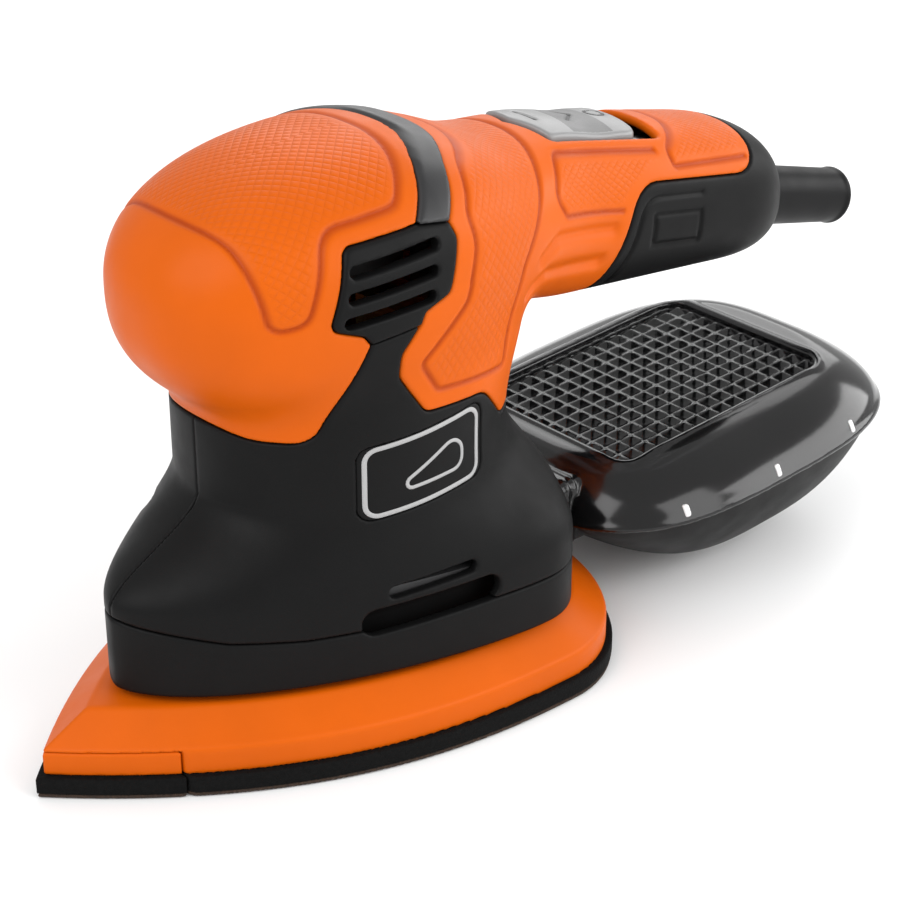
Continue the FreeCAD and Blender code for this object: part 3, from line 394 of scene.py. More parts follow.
# pads whose outline gets no painted groove shade
PADS_WITHOUT_EDGE_SHADE = [SIDE_PAD, REAR_PAD]
STEP = 0.5
GAP = 0.09
EDGE = 0.7
GROOVE_DEPTH = 0.5
GROOVE_HALF = 0.55
RIDGE_HALF = 1.5
PAD_RADIUS = 26.0


def shell_field(region, pads=(), lines=(), ridges=(), slots=(), extra=None, proud=0.0, split=False):
    """A shell over a side-view region, grooved round its pads, along its lines and along its ridges."""
    outline = rounded(region)
    pad_outlines = [rounded(pad) for pad in pads]
    line_paths = [rounded(line, closed=False) for line in lines]

    def field(x, y, z):
        flat_y, flat_z = y + 0 * z, z + 0 * y
        out = body_field(x, y, z) - proud
        for pad in pad_outlines:
            out = out + 1.1 * GROOVE_DEPTH * line_bump(outline_field(flat_y, flat_z, pad), GROOVE_HALF)
        for path in line_paths:
            out = out + GROOVE_DEPTH * line_bump(path_distance(flat_y, flat_z, path), GROOVE_HALF)
        for path in ridges:
            out = out + line_bump(path_distance(flat_y, flat_z, path), RIDGE_HALF)
        piece = smooth_max(out, outline_field(flat_y, flat_z, outline) + GAP, EDGE)
        piece = cut(piece, body_field(x, y, z, WALL), 0.3)
        if split:
            piece = smooth_max(piece, 0.03 - x, 0.15)
        for start, end, tall in slots:
            piece = cut(piece, slot_field(y, z, (start, end), tall), 0.5)
        if extra is not None:
            piece = extra(piece, x, y, z)
        return piece
    return field


def with_screw_holes(field, places):
    """The right half of a shell, with the holes that its screw heads sit in."""
    def holed(x, y, z):
        piece = field(x, y, z)
        for place in places:
            round_way = np.hypot(y - place[0], z - place[1]) - SCREW_HOLE
            piece = cut(piece, smooth_max(round_way, HEAD_SEAT - x, 0.2), 0.5)
        return piece
    return holed


def flipped(points, faces):
    """The mirror image of a mesh in the middle plane, its faces still turned outward."""
    turned = faces[:, ::-1].copy() if isinstance(faces, np.ndarray) else [face[::-1] for face in faces]
    return points * np.array([-1, 1, 1]), turned


def both_sides(left, right=None):
    """One mesh of a half and the mirror image of itself or of another half."""
    points, faces = left
    others, other_faces = flipped(*(right or left))
    return np.concatenate([points, others]), np.concatenate([faces, other_faces + len(points)])


def merged(parts):
    """Several small meshes as one."""
    points, faces = [], []
    for own_points, own_faces in parts:
        faces += [[len(points) + int(k) for k in face] for face in own_faces]
        points += [tuple(point) for point in own_points]
    return points, faces


def marked(item, pads, lines):
    """Stores where each point lies along and round the body, how far inside a textured pad it is,
    and how near a groove it is, which masks the painted groove shade."""
    count = len(item.data.vertices)
    points = np.zeros(count * 3)
    item.data.vertices.foreach_get("co", points)
    x, y, z = (points.reshape(-1, 3) / MM).T
    middle = handle_section(y)[0]
    around = np.arctan2(z - middle, np.abs(x)) * PAD_RADIUS
    inside = np.zeros(count)
    near = np.zeros(count)
    for pad in pads:
        edge = outline_field(y, z, rounded(pad))
        inside = np.maximum(inside, np.clip((-edge - 1.2) / 1.0, 0, 1))
        # the pads listed in PADS_WITHOUT_EDGE_SHADE get no painted groove shade along their outline
        if pad not in PADS_WITHOUT_EDGE_SHADE:
            near = np.maximum(near, line_bump(edge, 0.6))
    for path in lines:
        near = np.maximum(near, line_bump(path_distance(y, z, rounded(path, closed=False)), 0.6))
    layer = item.data.attributes.new("pattern", "FLOAT_VECTOR", "POINT")
    layer.data.foreach_set("vector", np.stack([y, around, inside], axis=1).ravel())
    layer = item.data.attributes.new("groove", "FLOAT", "POINT")
    layer.data.foreach_set("value", near)


def finished(name, points, faces, material, body, nodes, pads=(), lines=()):
    """A piece with its marks, material and body; nodes are the CAD ones it stands for."""
    item = mesh_object(name, points, faces)
    marked(item, pads, lines)
    item.data.materials.append(material)
    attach(item, body)
    if nodes:
        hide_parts(*nodes)
    return item


def welded(item):
    """Joins the two halves of a shell where they meet at x = 0."""
    shape = bmesh.new()
    shape.from_mesh(item.data)
    middle = [point for point in shape.verts if abs(point.co.x) < 1e-7]
    bmesh.ops.remove_doubles(shape, verts=middle, dist=1e-5)
    shape.to_mesh(item.data)
    shape.free()


def whole_shell(name, field, low, high, material, nodes, body="root", pads=(), lines=(), holes=(), step=STEP):
    """One piece across the middle plane. Only its right half has the screw holes."""
    left = surface_net(field, low, high, step, halved=True)
    right = surface_net(with_screw_holes(field, holes), low, high, step, halved=True) if holes else left
    item = finished(name, *both_sides(left, right), material, body, nodes, pads, lines)
    welded(item)
    return item


def half_shells(name, field, low, high, material, holes=()):
    """Left and right halves of a shell. Only the right half has the screw holes."""
    left = surface_net(field, low, high, STEP)
    right = surface_net(with_screw_holes(field, holes), low, high, STEP) if holes else left
    finished(f"{name}_left_skin", *left, material, "root", [f"{name}_left"])
    finished(f"{name}_right_skin", *flipped(*right), material, "root", [f"{name}_right"])


# ---- materials

TEXTURE_PITCH = 2.3
TEXTURE_DEPTH = 0.00022
TEXTURE_SHARPNESS = 0.6
# the painted shade between grip scales, as a share of the colour
TEXTURE_SHADE = 0.72
ROUGH_SPREAD = 0.07
# how strongly the painted groove shade darkens the colour
GROOVE_SHADE_STRENGTH = 0.8


def new_material(name):
    made = bpy.data.materials.new(name)
    made.use_nodes = True
    return made, made.node_tree, made.node_tree.nodes["Principled BSDF"]


def feed(tree, value, socket):
    """Links a socket to another, or sets a plain colour or number on it."""
    if isinstance(value, bpy.types.NodeSocket):
        tree.links.new(value, socket)
    elif isinstance(value, tuple):
        socket.default_value = (*value, 1.0)
    elif value is not None:
        socket.default_value = value


def shaded(colour, share):
    return tuple(min(channel * share, 1.0) for channel in colour)


def mixed(tree, factor, first, second):
    """A colour mix node; the arguments are sockets or plain colours."""
    node = tree.nodes.new("ShaderNodeMix")
    node.data_type = "RGBA"
    for number, value in ((0, factor), (6, first), (7, second)):
        feed(tree, value, node.inputs[number])
    return node.outputs[2]


def maths(tree, operation, first, second=None):
    node = tree.nodes.new("ShaderNodeMath")
    node.operation = operation
    feed(tree, first, node.inputs[0])
    feed(tree, second, node.inputs[1])
    return node.outputs[0]


def fed_node(tree, kind, settings):
    """A new node with its named inputs linked or set."""
    node = tree.nodes.new("ShaderNode" + kind)
    for name, setting in settings.items():
        feed(tree, setting, node.inputs[name])
    return node


def ranged(tree, value, low, high, to_low, to_high):
    return fed_node(tree, "MapRange", {"Value": value, "From Min": low, "From Max": high, "To Min": to_low,
                                       "To Max": to_high}).outputs[0]


def own_place(tree):
    return tree.nodes.new("ShaderNodeTexCoord").outputs["Object"]


def stored(tree, name, output):
    """A value that marked() stored on the mesh."""
    node = tree.nodes.new("ShaderNodeAttribute")
    node.attribute_name = name
    return node.outputs[output]


def noise(tree, scale, detail=3.0, roughness=0.55, place=None):
    return fed_node(tree, "TexNoise", {"Scale": scale, "Detail": detail, "Roughness": roughness,
                                       "Vector": place or own_place(tree)}).outputs["Fac"]


def bumped(tree, height, distance, strength=1.0, under=None):
    return fed_node(tree, "Bump", {"Strength": strength, "Distance": distance, "Height": height,
                                   "Normal": under}).outputs["Normal"]


def drifting(tree, cloud, first, second):
    """One colour drifting into another with a cloud."""
    return mixed(tree, ranged(tree, cloud, 0.3, 0.7, 0.0, 1.0), first, second)


def surfaced(tree, shader, tint, rough, normal):
    """Links the colour, roughness and normal that vary over a surface."""
    tree.links.new(tint, shader.inputs["Base Color"])
    tree.links.new(rough, shader.inputs["Roughness"])
    tree.links.new(normal, shader.inputs["Normal"])


def slanted_ridges(tree, operation, along, around):
    """Parallel ridges that cross the body on a slant."""
    phase = maths(tree, "MULTIPLY", maths(tree, operation, along, around), math.pi / TEXTURE_PITCH)
    height = maths(tree, "ABSOLUTE", maths(tree, "SINE", phase))
    return maths(tree, "POWER", height, TEXTURE_SHARPNESS)


def grip_texture(tree, colour, tint, normal):
    """Small scales inside the textured pads, where two sets of ridges cross, with painted shade darkening the
    hollows between them.
    """
    split = tree.nodes.new("ShaderNodeSeparateXYZ")
    tree.links.new(stored(tree, "pattern", "Vector"), split.inputs[0])
    along, around, inside = split.outputs
    scales = maths(tree, "MULTIPLY", slanted_ridges(tree, "ADD", along, around),
                   slanted_ridges(tree, "SUBTRACT", along, around))
    height = maths(tree, "MULTIPLY", scales, inside)
    # painted shade in the hollows between the scales
    painted_hollow_shade = maths(tree, "MULTIPLY", maths(tree, "SUBTRACT", inside, height), 0.16)
    return (mixed(tree, painted_hollow_shade, tint, shaded(colour, TEXTURE_SHADE)),
            bumped(tree, height, TEXTURE_DEPTH, 0.55, normal))


def moulded(name, colour, rough, grain=0.00002, grain_scale=5200.0, vary=0.05, shine=0.5, textured=False,
            groove_shade_colour=None):
    """Moulded plastic with a fine spark-eroded grain, faint colour drift and rubbed high spots, and painted
    shade near its grooves when a groove shade colour is given.
    """
    made, tree, shader = new_material(name)
    tint = drifting(tree, noise(tree, 38.0, 4.0), shaded(colour, 1 - vary), shaded(colour, 1 + vary))
    normal = bumped(tree, noise(tree, grain_scale, 2.0), grain)
    if textured:
        tint, normal = grip_texture(tree, colour, tint, normal)
    # painted shade: near grooves the colour darkens toward the groove shade colour
    if groove_shade_colour is not None:
        near = maths(tree, "MULTIPLY", stored(tree, "groove", "Fac"), GROOVE_SHADE_STRENGTH)
        tint = mixed(tree, near, tint, groove_shade_colour)
    patches = ranged(tree, noise(tree, 120.0), 0.25, 0.75, rough - ROUGH_SPREAD, rough + ROUGH_SPREAD)
    surfaced(tree, shader, tint, patches, normal)
    shader.inputs["Specular IOR Level"].default_value = shine
    return made


def metal(name, colour, rough, streaks=(400.0, 400.0, 9000.0), grain=0.00001):
    """Turned or drawn metal with fine lines and dull patches."""
    made, tree, shader = new_material(name)
    stretch = tree.nodes.new("ShaderNodeMapping")
    stretch.inputs["Scale"].default_value = streaks
    tree.links.new(own_place(tree), stretch.inputs["Vector"])
    lines = noise(tree, 1.0, 3.0, 0.6, stretch.outputs[0])
    tint = drifting(tree, noise(tree, 90.0, 4.0), shaded(colour, 0.82), colour)
    surfaced(tree, shader, tint, ranged(tree, lines, 0.2, 0.8, rough - 0.08, rough + 0.12),
             bumped(tree, lines, grain))
    shader.inputs["Metallic"].default_value = 1.0
    return made


def grainy(name, colour, second, rough, scale, distance, shine=0.3):
    """Foam, grit or paper: two colours and one rough height."""
    made, tree, shader = new_material(name)
    cells = tree.nodes.new("ShaderNodeTexVoronoi")
    cells.inputs["Scale"].default_value = scale
    tree.links.new(own_place(tree), cells.inputs["Vector"])
    cloud = noise(tree, scale * 0.4, 4.0)
    height = maths(tree, "ADD", cells.outputs["Distance"], maths(tree, "MULTIPLY", cloud, 0.6))
    patches = ranged(tree, cloud, 0.2, 0.8, rough - 0.08, min(rough + 0.08, 1.0))
    surfaced(tree, shader, drifting(tree, cloud, colour, second), patches, bumped(tree, height, distance))
    shader.inputs["Specular IOR Level"].default_value = shine
    return made


def smoked(name, colour, rough):
    """Smoked clear plastic with a faint moulding haze."""
    made, tree, shader = new_material(name)
    haze = noise(tree, 60.0)
    tint = drifting(tree, haze, shaded(colour, 0.9), colour)
    patches = ranged(tree, haze, 0.2, 0.8, rough, rough + 0.05)
    surfaced(tree, shader, tint, patches, bumped(tree, noise(tree, 240.0, 2.0), 0.00002))
    shader.inputs["Transmission Weight"].default_value = 0.7
    shader.inputs["IOR"].default_value = 1.36
    shader.inputs["Coat Weight"].default_value = 0.3
    shader.inputs["Coat Roughness"].default_value = 0.14
    return made


ORANGE = (0.56, 0.092, 0.001)
# painted shade: the groove shade colours here darken the plastics near their grooves
ORANGE_GROOVE_SHADE = (0.3, 0.03, 0.001)
MATERIALS = {
    "orange_plastic": moulded("orange_plastic", ORANGE, 0.42, shine=0.12, textured=True,
                              groove_shade_colour=ORANGE_GROOVE_SHADE),
    "black_plastic": moulded("black_plastic", (0.005, 0.005, 0.0051), 0.46, vary=0.12, grain=0.00003,
                             shine=0.1, groove_shade_colour=(0.001, 0.001, 0.001)),
    "grey_trim": moulded("grey_trim", (0.02, 0.02, 0.021), 0.38, vary=0.08, shine=0.35,
                         groove_shade_colour=(0.004, 0.004, 0.004)),
    "switch_grey": moulded("switch_grey", (0.2, 0.2, 0.2), 0.34, vary=0.04),
    "smoked_clear": smoked("smoked_clear", (0.012, 0.012, 0.0125), 0.1),
    "foam_pad": grainy("foam_pad", (0.003, 0.003, 0.003), (0.006, 0.006, 0.006), 0.8, 2600.0, 0.00012,
                       shine=0.08),
    "abrasive": grainy("abrasive", (0.02, 0.014, 0.011), (0.06, 0.035, 0.022), 0.85, 3800.0, 0.0002),
    "rubber_black": moulded("rubber_black", (0.005, 0.005, 0.0053), 0.42, grain=0.000015, vary=0.1,
                            shine=0.09),
    "steel": metal("steel", (0.45, 0.45, 0.46), 0.34),
    "core_iron": metal("core_iron", (0.3, 0.3, 0.31), 0.42, streaks=(120.0, 120.0, 14000.0), grain=0.00004),
    "copper": metal("copper", (0.82, 0.36, 0.18), 0.32),
    "brass": metal("brass", (0.78, 0.56, 0.22), 0.3),
    "carbon": grainy("carbon", (0.02, 0.02, 0.021), (0.035, 0.035, 0.036), 0.6, 3000.0, 0.00005),
    "filter_paper": grainy("filter_paper", (0.55, 0.5, 0.4), (0.7, 0.66, 0.55), 0.85, 1800.0, 0.0001),
    "inner_plastic": moulded("inner_plastic", (0.035, 0.035, 0.036), 0.5, vary=0.1),
}
FRAME_GREY = moulded("frame_grey", (0.33, 0.33, 0.33), 0.38, vary=0.05)
SWITCH_DARK = moulded("switch_dark", (0.11, 0.11, 0.11), 0.42, vary=0.06, grain=0.00004, grain_scale=3200.0)
MARK_DARK = moulded("mark_dark", (0.03, 0.03, 0.03), 0.5)
# painted highlight: the light grey of the ribs on the dust lid's shoulder
RIB_PAINTED_HIGHLIGHT = moulded("rib_painted_highlight", (0.75, 0.75, 0.75), 0.3)

for entry in frame["record"]["subparts"]:
    item = NODES[entry["node"]]
    material = MATERIALS[entry["material_slot"]]
    if item.data.materials:
        for number in range(len(item.data.materials)):
            item.data.materials[number] = material
    else:
        item.data.materials.append(material)


# ---- shells of the body

orange = MATERIALS["orange_plastic"]
black = MATERIALS["black_plastic"]
trim = MATERIALS["grey_trim"]
HOUSING_SCREWS = [(-36.0, 44.0), (35.5, 48.0)]
GRIP_SCREWS = [(-32.0, 98.0)]
HANDLE_SCREWS = [(53.0, 79.5), (88.0, 99.6)]
BUTTON_HALF = 10.6
DUCT_HALF = 15.0
DUCT_LOW = 20.4
DUCT_HIGH = 31.0
RECESS_FRONT = 45.8
RECESS_REAR = 82.2
RECESS_DEPTH = 4.6
BADGE_DEPTH = 0.9
BOOT_START = (112.5, 81.0)
BOOT_SLOPE = math.radians(14.0)
BOOT_HOLE = 7.7


def handle_top(y):
    middle, _, rise, _, _ = handle_section(y)
    return middle + rise


def switch_cut(piece, x, y, z):
    """The recess that the slide switch sits in, long enough behind for the switch's travel."""
    along = np.maximum(y - RECESS_REAR + 0.04 * np.abs(x), RECESS_FRONT - y + 0.3 * np.abs(x))
    hole = smooth_max(np.abs(x) - BUTTON_HALF - 0.3, along, 2.0)
    hole = smooth_max(hole, handle_top(y) - RECESS_DEPTH - z, 0.6)
    return cut(piece, hole, 1.2)


def duct_cut(piece, x, y, z):
    hole = np.maximum(np.abs(x) - DUCT_HALF - 0.1, np.abs(z - (DUCT_LOW + DUCT_HIGH) / 2) - 5.4)
    return cut(piece, np.maximum(hole, 36.0 - y), 0.4)


def badge_cut(piece, x, y, z):
    seat = outline_field(y + 0 * z, z + 0 * y, rounded(BADGE))
    return cut(piece, cut(seat, body_field(x, y, z, BADGE_DEPTH), 0.2), 0.3)


def housing_cut(piece, x, y, z):
    return duct_cut(badge_cut(piece, x, y, z), x, y, z)


def ring_cut(piece, x, y, z):
    return duct_cut(smooth_max(piece, SKIRT_BASE - z, 1.0), x, y, z)


def cover_cut(piece, x, y, z):
    """The hole that the cord boot comes out of."""
    boot_level = BOOT_START[1] - (y - BOOT_START[0]) * math.tan(BOOT_SLOPE)
    return cut(piece, np.maximum(np.hypot(x, z - boot_level) - BOOT_HOLE, 112.0 - y), 0.5)


handle_pads = [NECK_PAD, SIDE_PAD, REAR_PAD]
handle_lines = [SIDE_GROOVE, REAR_GROOVE]

cover_lines = [COVER_GROOVE, COVER_PANEL]
handle_shell = shell_field(HANDLE_REGION, pads=[NECK_PAD], lines=handle_lines, ridges=FINGER_RIDGES,
                           extra=switch_cut)
housing_shell = shell_field(HOUSING_REGION, slots=SIDE_SLOTS, extra=housing_cut, split=True)

whole_shell("palm_grip_skin", shell_field(GRIP_REGION, pads=[HEAD_PAD]), (-1, -52, 66), (36, 14, 126), orange,
            ["palm_grip_left", "palm_grip_right"], pads=[HEAD_PAD], holes=GRIP_SCREWS)
whole_shell("handle_skin", handle_shell, (-1, -12, 61), (36, 112, 126), orange,
            ["handle_left", "handle_right"], pads=handle_pads, lines=handle_lines, holes=HANDLE_SCREWS)
half_shells("housing", housing_shell, (-1, -62, 26), (42, 52, 96), black, holes=HOUSING_SCREWS)
whole_shell("skirt_ring_skin", shell_field(RING_REGION, slots=SIDE_SLOTS[:1], extra=ring_cut),
            (-1, -62, 15), (42, 52, 38), black, ["skirt_ring"])
whole_shell("rear_cover_skin", shell_field(COVER_REGION, lines=cover_lines, extra=cover_cut),
            (-1, 56, 58), (24, 124, 106), black, ["rear_cover"], lines=cover_lines)
whole_shell("head_band_skin", shell_field(BAND_REGION, proud=0.5), (-1, -8, 108), (36, 24, 127), trim,
            ["head_band"])
half_shells("vent_grille", shell_field(GRILLE_REGION, slots=LOUVRES, proud=0.3), (15, -28, 88), (38, 10, 116),
            black)


# painted shade: the plate below only darkens the view into the side slots
SHADE_PLATE_DEPTH = 6.0
SHADE_PLATE_THICK = 1.2
SHADE_PLATE_RIB = 0.5
SHADE_PLATE_REACH = 9.0


def slot_shade_plate_field(x, y, z):
    """A curved black plate behind the side slots, with a rib along its middle; it is painted shade that makes
    the slots look dark inside.
    """
    away = segment_distance(y, z, *SIDE_SLOTS[0][:2])
    front = body_field(x, y, z, SHADE_PLATE_DEPTH) - SHADE_PLATE_RIB * line_bump(away, 0.8)
    plate = np.maximum(front, -body_field(x, y, z, SHADE_PLATE_DEPTH + SHADE_PLATE_THICK))
    return smooth_max(plate, away - SHADE_PLATE_REACH + 0 * x, 0.4)


# painted shade: black plates that darken the side slots
slot_shade_plate = surface_net(slot_shade_plate_field, (20, -28, 18), (40, 20, 43), STEP)
finished("slot_shade_plates", *both_sides(slot_shade_plate), black, "root", [])


# ---- badges: inset panel, frame and pictogram

def surface_x(y, z, proud=0.0):
    """How far out along X the body's surface lies."""
    near, far = np.zeros_like(y), np.full_like(y, 60.0)
    for _ in range(30):
        middle = (near + far) / 2
        inside = body_field(middle, y, z) - proud < 0
        near, far = np.where(inside, middle, near), np.where(inside, far, middle)
    return near


def evenly(path, spacing, closed):
    """Points along a side-view path at even spacing."""
    points = np.array(path + path[:1] if closed else path, float)
    lengths = np.concatenate([[0], np.cumsum(np.linalg.norm(np.diff(points, axis=0), axis=1))])
    count = max(int(lengths[-1] / spacing), 2)
    where = np.linspace(0, lengths[-1], count + 1)[:count if closed else count + 1]
    return np.stack([np.interp(where, lengths, own) for own in points.T], axis=1)


RIBBON_SECTION = [(-0.5, -0.25), (-0.5, 0.04), (-0.42, 0.13), (0.0, 0.16), (0.42, 0.13), (0.5, 0.04),
                  (0.5, -0.25)]


def ribbon(path, wide, closed=False, level=0.0):
    """A printed or moulded line that lies on the body's side: points and faces."""
    line = evenly(path, 0.6, closed)
    if closed:
        run = np.roll(line, -1, axis=0) - np.roll(line, 1, axis=0)
    else:
        run = np.gradient(line, axis=0)
    run /= np.linalg.norm(run, axis=1)[:, None]
    across = np.stack([-run[:, 1], run[:, 0]], axis=1)
    rings = []
    for offset, lift in RIBBON_SECTION:
        y, z = (line + across * offset * wide).T
        rings.append(np.stack([surface_x(y, z, level + lift), y, z], axis=1))
    points = np.stack(rings, axis=1).reshape(-1, 3)
    size = len(RIBBON_SECTION)
    faces = []
    count = len(line)
    for step in range(count if closed else count - 1):
        here, there = step * size, (step + 1) % count * size
        for k in range(size):
            faces.append((here + k, here + (k + 1) % size, there + (k + 1) % size, there + k))
    if not closed:
        faces.append(tuple(range(size))[::-1])
        faces.append(tuple(range((count - 1) * size, count * size)))
    return points, faces


def printed(name, ribbons, material, body="root"):
    """Lines on both sides of the body as one piece."""
    item = mesh_object(name, *merged(ribbons + [flipped(*own) for own in ribbons]))
    item.data.materials.append(material)
    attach(item, body)


def toward(outline, share):
    middle = np.mean(np.array(outline), axis=0)
    return [tuple(middle + (np.array(point) - middle) * share) for point in outline]


badge_outline = [tuple(point) for point in rounded(BADGE)]


def badge_field(x, y, z):
    seat = outline_field(y + 0 * z, z + 0 * y, badge_outline) + 0.12
    piece = smooth_max(body_field(x, y, z) + 0.12, seat, 0.3)
    return cut(piece, body_field(x, y, z, BADGE_DEPTH), 0.1)


plate = surface_net(badge_field, (25, -20, 50), (40, 15, 73), STEP * 0.8)
for side, half in (("left", plate), ("right", flipped(*plate))):
    finished(f"badge_{side}_plate", *half, black, "root", [f"badge_{side}"])
SOLE_ICON = [(-12.0, 57.0, 1.2), (6.5, 66.5, 3), (6.5, 58.0, 2.5)]
icon = [tuple(point) for point in rounded(SOLE_ICON)]
printed("badge_marks", [ribbon(toward(badge_outline, 0.9), 1.0, closed=True, level=-0.12),
                        ribbon(icon, 0.8, closed=True, level=-0.12)], FRAME_GREY)


# ---- base plate, pads and sheets

BASE_NOSE = 80.0
BASE_TAIL = 60.0
BASE_HALF = 45.5
BASE_WIDE_AT = 27.0
NOSE_FULLNESS = 2.4
TIP_SPLIT = -56.3
TIP_GAP = 0.4
WALL_INSET = 1.5
WALL_TOP = 10.2
FACET_INSET = 9.3
PLATEN_TOP = 16.0
PAD_TOP = 4.6
SHEET_THICK = 0.9


def base_side():
    """The base's outline from nose to tail: a power curve to the widest place, then a quarter oval."""
    share = np.linspace(1, 0, 48)
    side = [BASE_HALF * (1 - share ** NOSE_FULLNESS), BASE_WIDE_AT - (BASE_WIDE_AT + BASE_NOSE) * share]
    angle = np.linspace(0, math.pi / 2, 28)[1:]
    tail = [BASE_HALF * np.cos(angle), BASE_WIDE_AT + (BASE_TAIL - BASE_WIDE_AT) * np.sin(angle)]
    return np.concatenate([side, tail], axis=1).T


side_line = base_side()
base_outline = np.concatenate([side_line, side_line[-2:0:-1] * np.array([-1, 1])])
DUST_RING = 26.0
DUST_RING_AT = 8.0
DUST_HOLES = [(DUST_RING * math.cos(turn), DUST_RING_AT + DUST_RING * math.sin(turn))
              for turn in (math.radians(step * 60) for step in range(6))]
DUST_HOLE = 3.5
SPINDLE_AT = 0.8
WELL = 11.0
WELL_TOP = 15.4
POST = 9.0


def base_depth(x, y):
    """How far inside the base outline a point lies."""
    return -outline_field(x + 0 * y, y + 0 * x, base_outline)


def drilled(piece, x, y):
    for place in DUST_HOLES:
        piece = smooth_max(piece, DUST_HOLE - np.hypot(x - place[0], y - place[1]), 0.3)
    return piece


def platen_field(x, y, z):
    depth = base_depth(x, y)
    slope = (PLATEN_TOP - WALL_TOP) / (FACET_INSET - WALL_INSET)
    facet = (z - WALL_TOP - slope * (depth - WALL_INSET)) / math.hypot(1, slope)
    piece = smooth_max(smooth_max(WALL_INSET + 0.1 - depth, facet, 0.5), z - PLATEN_TOP, 0.5)
    piece = np.maximum(piece, PAD_TOP + 0.03 - z)
    tip_room = smooth_max(y - TIP_SPLIT, z - WALL_TOP + 0.25, 0.2)
    piece = cut(piece, tip_room, 0.35)
    from_spindle = np.hypot(x, y - SPINDLE_AT)
    piece = np.maximum(piece, -np.maximum(from_spindle - WELL, z - WELL_TOP))
    piece = np.maximum(piece, POST - from_spindle)
    return drilled(piece, x, y)


def tip_field(x, y, z):
    piece = smooth_max(WALL_INSET + 0.1 - base_depth(x, y), y - TIP_SPLIT + TIP_GAP, 0.5)
    piece = smooth_max(piece, z - WALL_TOP + 0.42, 0.5)
    return np.maximum(piece, PAD_TOP + 0.03 - z)


def notch(x, y):
    """The pad's corners are nicked where the tip parts from the rest."""
    return 0.5 * line_bump(y - TIP_SPLIT + TIP_GAP / 2, 0.7) * (np.abs(x) > 15)


def pad_field(low, high, tip, rim):
    def field(x, y, z):
        depth = base_depth(x, y) - notch(x, y)
        piece = smooth_max(rim - depth, np.abs(z - (low + high) / 2) - (high - low) / 2, 0.35)
        if tip:
            return smooth_max(piece, y - TIP_SPLIT + TIP_GAP, 0.3)
        return drilled(smooth_max(piece, TIP_SPLIT - y, 0.3), x, y)
    return field


main_foam, tip_foam = (pad_field(SHEET_THICK + 0.02, PAD_TOP - 0.02, tip, 0.1) for tip in (False, True))
main_grit, tip_grit = (pad_field(0.02, SHEET_THICK - 0.02, tip, 0.25) for tip in (False, True))
MAIN_LONG = (-60, 62)
TIP_LONG = (-82, -54)
for name, field, long, tall, slot, body, node, fine in (
        ("platen_shell", platen_field, (-82, 62), (3, 18), "orange_plastic", "platen", "platen", 1.1),
        ("tip_holder_shell", tip_field, TIP_LONG, (3, 12), "orange_plastic", "tip", "tip_holder", 0.8),
        ("main_pad_foam", main_foam, MAIN_LONG, (0, 6), "foam_pad", "platen", "main_pad", 1.1),
        ("tip_pad_foam", tip_foam, TIP_LONG, (0, 6), "foam_pad", "tip", "tip_pad", 0.8),
        ("sanding_sheet_grit", main_grit, MAIN_LONG, (-1, 2), "abrasive", "platen", "sanding_sheet", 0.9),
        ("tip_sheet_grit", tip_grit, TIP_LONG, (-1, 2), "abrasive", "tip", "tip_sheet", 0.8)):
    whole_shell(name, field, (-1, long[0], tall[0]), (47.5, long[1], tall[1]), MATERIALS[slot], [node], body,
                step=STEP * fine)


# ---- dust box

BOX_FRONT = 46.0
BOX_REAR = 149.0
BOX_HALF = 42.0
BOX_FLOOR = 4.0
BOX_SEAM = 28.0
BOX_TOP = 40.5
BOX_FULLNESS = 3.1
BOX_TILT = math.tan(math.radians(4.0))
BOX_LEVEL_AT = 100.0
BOX_SKIN = 2.0
TRAY_SETBACK = 1.1
TRAY_LEAN = 8.0
TRAY_FRONT_LEAN = 25.0
TRAY_ROUND = 12.0
LID_LEAN = 13.0
LID_FRONT_LEAN = 8.0
LID_CURVE = 1.9
WINDOW_AT = 94.0
WINDOW_HALF = 24.5
WINDOW_LONG = 33.5
PITCH = 4.2
COLLAR_HALF = 20.0
COLLAR_LOW = 17.8
COLLAR_HIGH = 34.8


def tray_inset(level):
    """How far the tray's sides move in and its front moves back at a height."""
    below = np.clip((BOX_SEAM - level) / (BOX_SEAM - BOX_FLOOR), 0, 0.985)
    rounding = TRAY_SETBACK + TRAY_ROUND * (1 - np.sqrt(1 - below ** 2))
    return TRAY_LEAN * below + rounding, TRAY_FRONT_LEAN * below + rounding


def lid_inset(level):
    above = np.clip((level - BOX_SEAM) / (BOX_TOP - BOX_SEAM), 0, 1) ** LID_CURVE
    return LID_LEAN * above, LID_FRONT_LEAN * above


def levelled(y, z):
    return z - BOX_TILT * (y - BOX_LEVEL_AT)


def box_side(x, y, level, insets, inset):
    side_in, front_in = insets(level)
    front = BOX_FRONT + front_in + inset
    rear = BOX_REAR - side_in - inset
    half = BOX_HALF - side_in - inset
    return oval_distance(x, y - (front + rear) / 2, half, (rear - front) / 2, BOX_FULLNESS)[0]


def rounded_rect(u, v, half_u, half_v, corner):
    du = np.abs(u) - half_u + corner
    dv = np.abs(v) - half_v + corner
    return np.minimum(np.maximum(du, dv), 0) + np.hypot(np.maximum(du, 0), np.maximum(dv, 0)) - corner


def collar_field(x, y, z):
    middle = (COLLAR_LOW + COLLAR_HIGH) / 2
    tube = rounded_rect(x, z - middle + 0 * y, COLLAR_HALF, (COLLAR_HIGH - COLLAR_LOW) / 2, 3.0)
    lips = 0.5 * line_bump(y - 48.2, 0.6) + 0.4 * line_bump(y - 50.4, 0.5)
    return smooth_max(smooth_max(tube + 0.4 - lips, 46.0 - y, 0.8), y - 57.0, 0.5)


def duct_room(x, y, z):
    return rounded_rect(x, z - (DUCT_LOW + DUCT_HIGH) / 2 + 0 * y, DUCT_HALF + 0.4, 5.7, 1.0) + 0 * y


